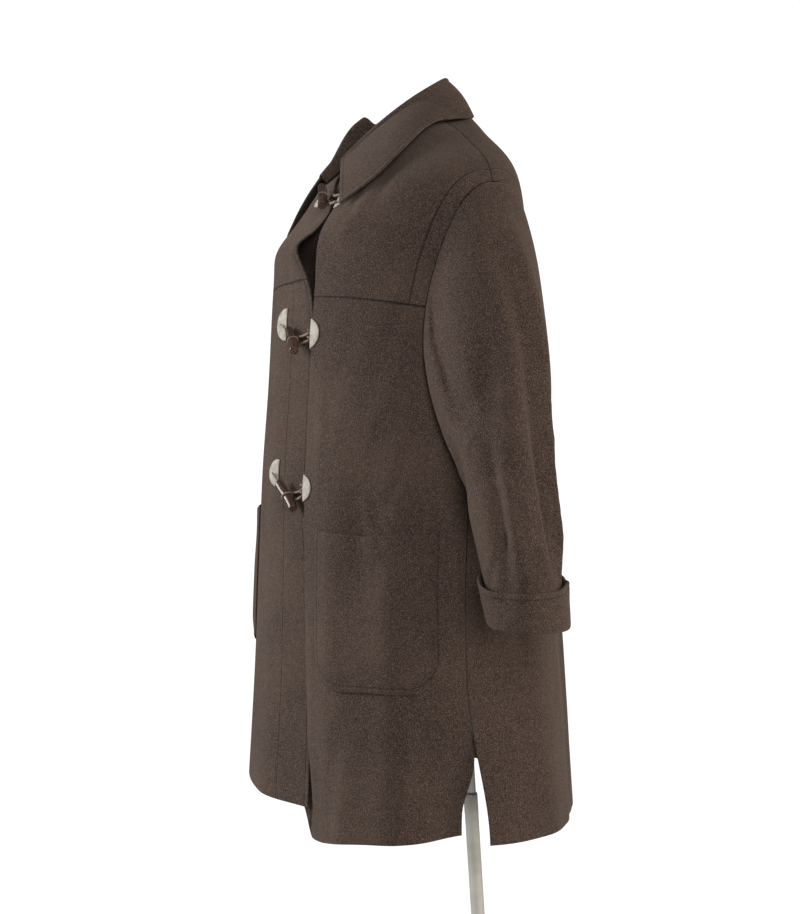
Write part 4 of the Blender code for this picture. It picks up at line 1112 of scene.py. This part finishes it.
def curve_through(points, count):
    """count points on a smooth curve through the given ones, evenly along it."""
    points = np.array(points)
    places = np.concatenate([[0], np.cumsum(np.linalg.norm(np.diff(points, axis=0), axis=1))])
    at = np.linspace(0, places[-1], count)
    return np.stack([through(places, points[:, k], at) for k in range(3)], axis=-1)


def tube_rings(path, radius, sides, squash=1.0, start=(0.3, 0.9, 0.2)):
    """Rings of points round a path. The side vector is carried along by taking out what points ahead."""
    ahead = unit(np.gradient(path, axis=0))
    sideways = np.empty_like(path)
    carried = np.cross(ahead[0], start)
    for k in range(len(path)):
        carried = carried - ahead[k] * (carried @ ahead[k])
        carried = carried / np.linalg.norm(carried)
        sideways[k] = carried
    other = np.cross(ahead, sideways)
    a = np.radians(np.arange(0, 360, 360 / sides))
    radius = np.broadcast_to(radius, len(path))[:, None, None]
    ring = np.cos(a)[None, :, None] * sideways[:, None] + squash * np.sin(a)[None, :, None] * other[:, None]
    return path[:, None] + radius * ring


# %% Patches with their stitches
STITCH_SIDES = 5
STITCH_RADII = np.array([0.0001, 0.0003, 0.00042, 0.0003, 0.0001])
STITCH_PLACES = np.array([0, 0.12, 0.5, 0.88, 1.0])[:, None]
stitch_rings = []
for number, row in enumerate(FASTENINGS, start=1):
    right_z, left_z, toggle_z, right_x, left_x, toggle_x, *lean = row
    for label, surface, x, z, side in (
        ("right", right_front, right_x, right_z, -1),
        ("left", left_front, left_x, left_z, 1),
    ):
        turn, down = surface_at(surface, x, z)
        rows = 0.985 * np.sin(np.pi * (with_rim(np.linspace(0, 1, 30), 0.05) - 0.5))[:, None]
        columns = with_rim(np.linspace(0, 1, 18), PATCH_WIDTH, rim=0.0009)[None, :]
        width = PATCH_WIDTH * np.sqrt(1 - rows**2) ** 0.9
        across = PATCH_BOW * (1 - rows**2) + width * columns
        scale = arc_per_degree(surface, turn + side * 9.0, down)
        turns = turn + side * across / scale
        downs = down + rows * PATCH_HEIGHT / 2 / BODY_DROP + 0 * columns
        domed = 0.0006 * ease(columns, 0.0, 0.25) * (1 - ease(columns, 0.75, 1.0)) * (1 - rows**2)
        if side < 0:
            turns, downs, domed = turns[:, ::-1], downs[:, ::-1], domed[:, ::-1]
        middle = along_normal(surface, turns, downs, PATCH_GAP + PATCH_LEATHER / 2 + domed)
        normal = normal_of(surface, turns, downs)
        coat[f"patch_{label}_{number}"] = cloth_wall(
            f"leather_patch_{label}_{number}", middle, normal, PATCH_LEATHER, (patch_leather,), rim=PATCH_RIM,
        )
        inset = np.linspace(-0.80, 0.80, 17)
        bow = PATCH_BOW * (1 - inset**2)
        along_curve = bow + PATCH_WIDTH * np.sqrt(1 - inset**2) ** 0.9 - 0.0028
        for run in (along_curve, bow + 0.0026):
            seam_turn = turn + side * run / scale
            seam_down = down + inset * PATCH_HEIGHT / 2 / BODY_DROP * 0.96
            line = along_normal(surface, seam_turn, seam_down, PATCH_GAP + PATCH_LEATHER + 0.0001)
            line = curve_through(line, 36)
            for k in range(0, 34, 2):
                path = line[k] + (line[k + 1] - line[k]) * STITCH_PLACES
                stitch_rings.append(tube_rings(path, STITCH_RADII, STITCH_SIDES))
points = np.concatenate([rings.reshape(-1, 3) for rings in stitch_rings])
each = STITCH_SIDES * len(STITCH_RADII)
cap = np.arange(STITCH_SIDES)
sides = grid_faces(len(STITCH_RADII), STITCH_SIDES, True)[:, ::-1]
ends = np.array([cap[::-1], each - STITCH_SIDES + cap])
first = each * np.arange(len(stitch_rings))[:, None, None]
faces = (sides + first).reshape(-1, 4).tolist() + (ends + first).reshape(-1, STITCH_SIDES).tolist()
patch_stitches = mesh_object("patch_stitches", points, faces, (thread,))
print("stitches on the patches", len(stitch_rings))

# %% Toggles
TOGGLE_SIDES = 32
toggles = []
for number, row in enumerate(FASTENINGS, start=1):
    right_z, left_z, toggle_z, right_x, left_x, toggle_x, *lean = row
    foot = over(right_front, toggle_x, toggle_z, 0.0)
    outward = over(right_front, toggle_x, toggle_z, 1.0) - foot
    lean = unit(np.array(lean))
    lean = unit(lean - outward * (lean @ outward) * 0.8)
    tip = np.array([0.475, 0.490, 0.497, 0.5])
    share = np.concatenate([-tip[::-1], np.linspace(-0.44, 0.44, 24), tip])
    girth = through(np.array([-0.5, -0.3, 0.0, 0.3, 0.5]), np.array([0.86, 1.0, 1.02, 1.04, 0.95]), share)
    past_shoulder = np.clip((np.abs(share) - 0.472) / 0.028, 0, 1)
    rounded = np.sqrt(np.clip(1 - past_shoulder**2, 0, 1)) * 0.14 + 0.86
    bend = 0.0018 * (4 * share**2 - 1)
    path = foot + outward * (TOGGLE_RADIUS + TOGGLE_STAND) + share[:, None] * TOGGLE_LENGTH * lean
    path = path + bend[:, None] * outward
    rings = tube_rings(path, TOGGLE_RADIUS * girth * rounded, TOGGLE_SIDES)
    flat_ends = np.concatenate([path[:1, None] + (rings[:1] - path[:1, None]) * f for f in (0.0005, 0.45)])
    far_ends = np.concatenate([path[-1:, None] + (rings[-1:] - path[-1:, None]) * f for f in (0.45, 0.0005)])
    rings = np.concatenate([flat_ends, rings, far_ends])
    made = closed_shell(f"horn_toggle_{number}", rings[:, ::-1], horn)
    angle = np.radians(np.arange(0, 360, 360 / TOGGLE_SIDES))[None]
    along = np.concatenate([[-0.5, -0.5], share, [0.5, 0.5]])
    grain = np.broadcast_arrays(along[:, None] * 0.35 + number, np.cos(angle), np.sin(angle))
    grain = np.stack(grain, -1)
    layer = made.data.attributes.new("grain", "FLOAT_VECTOR", "POINT")
    layer.data.foreach_set("vector", grain[:, ::-1].astype(np.float32).ravel())
    coat[f"toggle_{number}"] = made
    toggles.append((path, outward, lean))
print(len(toggles), "toggles,", TOGGLE_LENGTH, "m long")

# %% [markdown]
# The thongs are narrow strips of leather, so their section is a flattened round. The toggle's own thong
# goes round its middle once and is drawn tight there.

# %% Thongs and loops
for number, row in enumerate(FASTENINGS, start=1):
    right_z, left_z, toggle_z, right_x, left_x, toggle_x, *_lean = row
    path, outward, lean = toggles[number - 1]
    centre = path[len(path) // 2]
    on_patch = LIE_GAP + PATCH_LEATHER + 0.0005 + CORD_RADIUS
    low = 0.0007 + CORD_RADIUS
    high = low + 2 * CORD_RADIUS + 0.0006
    bend_x = toggle_x - 0.010
    across = np.cross(outward, lean)
    own = [
        over(right_front, right_x - 0.010, right_z, on_patch + 0.0004),
        over(right_front, right_x + 0.004, (2 * right_z + toggle_z) / 3, on_patch + 0.0004),
        over(right_front, bend_x - 0.005, toggle_z, low + 0.0010),
    ]
    reach = TOGGLE_RADIUS + 0.0009
    turns = np.radians(np.linspace(250, -90, 15))
    wrap = [
        centre + reach * (np.cos(t) * across + np.sin(t) * outward) + lean * 0.0014 * (k / 7 - 1)
        for k, t in enumerate(turns)
    ]
    strip = tube_rings(curve_through(own + wrap, 110), 0.0013, 10, squash=0.8)
    coat[f"cord_{number}"] = closed_shell(f"thong_{number}", strip[:, ::-1], thong_leather)
    rim_x = max(float(edge_x(surface_at(right_front, toggle_x, toggle_z)[1])) - 0.002, toggle_x + 0.018)
    strands = []
    for drop in (LOOP_HALF, -LOOP_HALF):
        strands.append([
            over(left_front, left_x + 0.010, left_z + drop, on_patch + 0.0004),
            over(left_front, left_x + 0.001, left_z + drop, on_patch + 0.0014),
            over(right_front, rim_x, (left_z + toggle_z) / 2 + drop, low + 0.003),
            over(right_front, toggle_x + 0.012, toggle_z + drop, low + 0.002),
            over(right_front, toggle_x, toggle_z + drop, low),
            over(right_front, bend_x + 0.003, toggle_z + drop * 0.85, (low + high) / 2),
        ])
    tip = over(right_front, bend_x, toggle_z, high)
    loop = curve_through(strands[0] + [tip] + strands[1][::-1], 120)
    rings = tube_rings(loop, CORD_RADIUS, 10)
    coat[f"loop_{number}"] = closed_shell(f"thong_loop_{number}", rings[:, ::-1], thong_leather)
    length = np.linalg.norm(np.diff(loop, axis=0), axis=1).sum()
    print("loop", number, "is", round(float(length), 3), "m long")

# %% [markdown]
# ## The dress form and its stand
# The form is a padded torso covered in pale jersey, smooth and without arms. Below it are a telescopic
# pole with a joint, a cone that holds the pole, and a heavy round base.


# %% Form, pole and base finishes
def jersey_material():
    made, tree, shader = new_material("pale_jersey", 0.85, sheen=0.3)
    place = object_place(tree)
    rib = node(tree, "ShaderNodeTexWave", Scale=420.0, Distortion=0.3, bands_direction="X")
    tree.links.new(place, rib.inputs["Vector"])
    soft = noise(tree, place, 40.0, 3.0)
    colour = mixed(tree, stepped(tree, soft, 0.35, 0.7), (0.80, 0.78, 0.71), (0.74, 0.71, 0.64))
    tree.links.new(colour, shader.inputs["Base Color"])
    bumped(tree, shader, rib.outputs["Fac"], 0.25, 0.0003)
    return made


def enamel_material(name, pale, deep, roughness, metallic):
    made, tree, shader = new_material(name, roughness, metallic=metallic, coat=0.2)
    place = object_place(tree)
    cloudy = noise(tree, place, 30.0, 4.0, 0.6)
    tree.links.new(mixed(tree, stepped(tree, cloudy, 0.35, 0.7), pale, deep), shader.inputs["Base Color"])
    uneven = plus(tree, times(tree, noise(tree, place, 220.0, 2.0), 0.12), roughness - 0.06)
    tree.links.new(uneven, shader.inputs["Roughness"])
    bumped(tree, shader, noise(tree, place, 500.0, 2.0), 0.08, 0.0003)
    return made


jersey = jersey_material()
pole_finish = enamel_material("satin_cream_pole", (0.95, 0.94, 0.88), (0.80, 0.79, 0.72), 0.35, 0.1)
enamel = enamel_material("white_enamel", (0.82, 0.82, 0.78), (0.78, 0.78, 0.74), 0.4, 0.0)

print("finishes:", jersey.name, pole_finish.name, enamel.name)

# %% Dress form
FORM_FOOT_Z, FORM_TOP_Z = 0.745, 1.362
FORM_COLUMNS = ("z", "half_width", "y_front", "y_back", "square")
FORM_RINGS = (
    (FORM_FOOT_Z, 0.160, -0.235, -0.010, 2.2),
    (0.800, 0.172, -0.245, 0.005, 2.2),
    (0.900, 0.158, -0.235, -0.005, 2.2),
    (1.000, 0.130, -0.222, -0.020, 2.1),
    (1.080, 0.140, -0.235, -0.012, 2.1),
    (1.150, 0.158, -0.256, -0.006, 2.2),
    (1.200, 0.168, -0.250, -0.008, 2.3),
    (1.240, 0.172, -0.228, -0.008, 2.4),
    (1.262, 0.168, -0.205, -0.018, 2.4),
    (1.285, 0.140, -0.190, -0.032, 2.3),
    (1.308, 0.105, -0.180, -0.045, 2.1),
    (1.330, 0.070, -0.172, -0.054, 2.0),
    (FORM_TOP_Z, 0.057, -0.169, -0.058, 2.0),
)
heights = column(FORM_RINGS, FORM_COLUMNS, "z")
z = np.linspace(FORM_FOOT_Z, FORM_TOP_Z, 110)[:, None]
half_width, y_front, y_back, square = (
    through(heights, column(FORM_RINGS, FORM_COLUMNS, name), z) for name in FORM_COLUMNS[1:]
)
around = np.radians(np.arange(0, 360, 4.0))[None, :]
torso = np.stack(np.broadcast_arrays(
    half_width * power(np.sin(around), 2 / square),
    (y_front + y_back) / 2 - (y_back - y_front) / 2 * power(np.cos(around), 2 / square),
    z,
), -1)
shrink = np.array([0.0005, 0.5, 0.9, 0.975])[:, None, None]
low_centre, high_centre = torso[0].mean(axis=0), torso[-1].mean(axis=0)
torso = np.concatenate([
    low_centre + (torso[:1] - low_centre) * shrink,
    torso[1:-1],
    high_centre + (torso[-1:] - high_centre) * shrink[::-1],
])
coat["form_torso"] = closed_shell("jersey_form", torso[:, ::-1], jersey)
print("form from", FORM_FOOT_Z, "to", FORM_TOP_Z, "m")

# %% Pole, cone and base
POLE_LEAN = 0.0665      # metres forward for each metre up
CENTRE = 0.0001         # a closed end, in metres from the middle line


def lathe(name, profile, sides, finish, lean=0.0):
    """A turned piece: each (radius, z) of the profile becomes a ring, shifted forward by lean times z."""
    a = np.radians(np.arange(0, 360, 360 / sides))
    radius, z = np.array(profile).T
    ring = np.stack(np.broadcast_arrays(
        radius[:, None] * np.cos(a), radius[:, None] * np.sin(a) - lean * z[:, None], z[:, None],
    ), -1)
    return closed_shell(name, ring[:, ::-1], finish)


coat["pole_inner"] = lathe("pole_upper", (
    (CENTRE, 0.4990), (0.0073, 0.4990), (0.0075, 0.4994), (0.0075, 0.7440), (CENTRE, 0.7441),
), 40, pole_finish, POLE_LEAN)
coat["pole_outer"] = lathe("pole_lower", (
    (CENTRE, 0.0382), (0.0088, 0.0382), (0.0090, 0.0386), (0.0090, 0.4700), (0.0093, 0.4706),
    (0.0093, 0.4960), (0.0089, 0.4978), (0.0080, 0.4980), (CENTRE, 0.4980),
), 40, pole_finish, POLE_LEAN)
coat["pole_hub"] = lathe("pole_cone", (
    (CENTRE, 0.0104), (0.0238, 0.0104), (0.0240, 0.0108), (0.0240, 0.0136),
    (0.0232, 0.0150), (0.0156, 0.0358), (0.0148, 0.0368), (CENTRE, 0.0370),
), 48, enamel)
coat["base"] = lathe("round_base", (
    (CENTRE, 0.0), (0.2030, 0.0), (0.2044, 0.0006), (0.2050, 0.0020),
    (0.2050, 0.0080), (0.2044, 0.0094), (0.2030, 0.0100), (CENTRE, 0.0100),
), 128, enamel)
print(len(coat), "pieces stand for plain solids")

# %% [markdown]
# ## What stands for what
# Every piece takes the place of its plain solid and rides on the one body there is. Each cut of cloth
# keeps the size it was cut to, its widest row, its longest column and its area, as properties set by
# cloth_wall; the last loop only rounds the width and length, and does nothing more with them.

# %% Ride and replace
for key, piece in coat.items():
    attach(piece, "root")
    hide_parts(key)
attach(patch_stitches, "root")
for key in ("back", "yoke_left", "yoke_right", "front_left", "front_right", "sleeve_left", "sleeve_right",
            "cuff_left", "cuff_right", "collar", "pocket_left", "pocket_right"):
    piece = coat[key]
    cut = (round(piece["cut_width"], 3), round(piece["cut_length"], 3))
    if key.startswith(("sleeve", "cuff")):      # the width was measured without its last step round
        ring = piece["cut_width"] * sleeve_round.size / (sleeve_round.size - 1)
        cut = (round(ring, 3), cut[1])

# %% [markdown]
# ## Floor and light
# A studio has a pale floor, a plain bright surround and soft lights, because wool shows its surface only
# in soft light that comes from one side. Three lights are enough: a large one in front towards the
# wearer's right, a warm one behind on the wearer's left, and a fill from the camera's side. The surround
# looks white and lights the coat only a little.

# %% Floor
def floor_material():
    made, tree, shader = new_material("pale_floor", 0.8)
    patches = noise(tree, object_place(tree), 12.0, 3.0)
    colour = mixed(tree, patches, (0.78, 0.78, 0.77), (0.82, 0.82, 0.81))
    tree.links.new(colour, shader.inputs["Base Color"])
    return made


FLOOR_PROFILE = ((CENTRE, -0.020), (1.0, -0.020), (1.0, -0.0005), (CENTRE, -0.0005))
floor = lathe("floor", FLOOR_PROFILE, 96, floor_material())
print("floor", [round(float(length), 3) for length in floor.dimensions], "m")


# %% Lights and surround
def area_light(name, place, aim, size, watts, colour):
    data = bpy.data.lights.new(name, "AREA")
    data.shape = "RECTANGLE"
    data.size, data.size_y = size
    data.energy = watts
    data.color = colour
    lamp = bpy.data.objects.new(name, data)
    lamp.location = place
    direction = unit(np.array(aim, float) - np.array(place, float))
    yaw = np.arctan2(-direction[0], direction[1])
    pitch = np.arccos(np.clip(-direction[2], -1, 1))
    lamp.rotation_euler = (pitch, 0.0, yaw)
    bpy.context.scene.collection.objects.link(lamp)


area_light("key", (-1.05, -2.30, 1.55), (0, -0.1, 0.95), (1.0, 1.7), 43.0, (1.0, 0.975, 0.945))
area_light("warm_side", (1.25, 2.05, 1.5), (0, 0, 0.95), (1.2, 1.8), 25.0, (1.0, 0.90, 0.78))
area_light("front_fill", (2.9, -0.5, 1.7), (0, 0, 0.95), (1.4, 1.8), 31.0, (1.0, 0.965, 0.93))

SURROUND_LIGHT = 0.10      # what the surround gives the coat, while the camera sees it at full white
world = bpy.data.worlds.new("surround")
bpy.context.scene.world = world
world.use_nodes = True
tree = world.node_tree
background = tree.nodes["Background"]
seen = node(tree, "ShaderNodeLightPath").outputs["Is Camera Ray"]
background.inputs["Color"].default_value = (1, 1, 1, 1)
tree.links.new(plus(tree, seen, SURROUND_LIGHT), background.inputs["Strength"])
bpy.context.scene.view_settings.view_transform = "Standard"
print("lights:", [light.name for light in bpy.data.lights])

# %% Sizes, and the end
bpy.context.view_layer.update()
triangles = {o.name: sum(len(p.vertices) - 2 for p in o.data.polygons) for o in coat.values()}
print("triangles", sum(triangles.values()), "largest", max(triangles.items(), key=lambda item: item[1]))
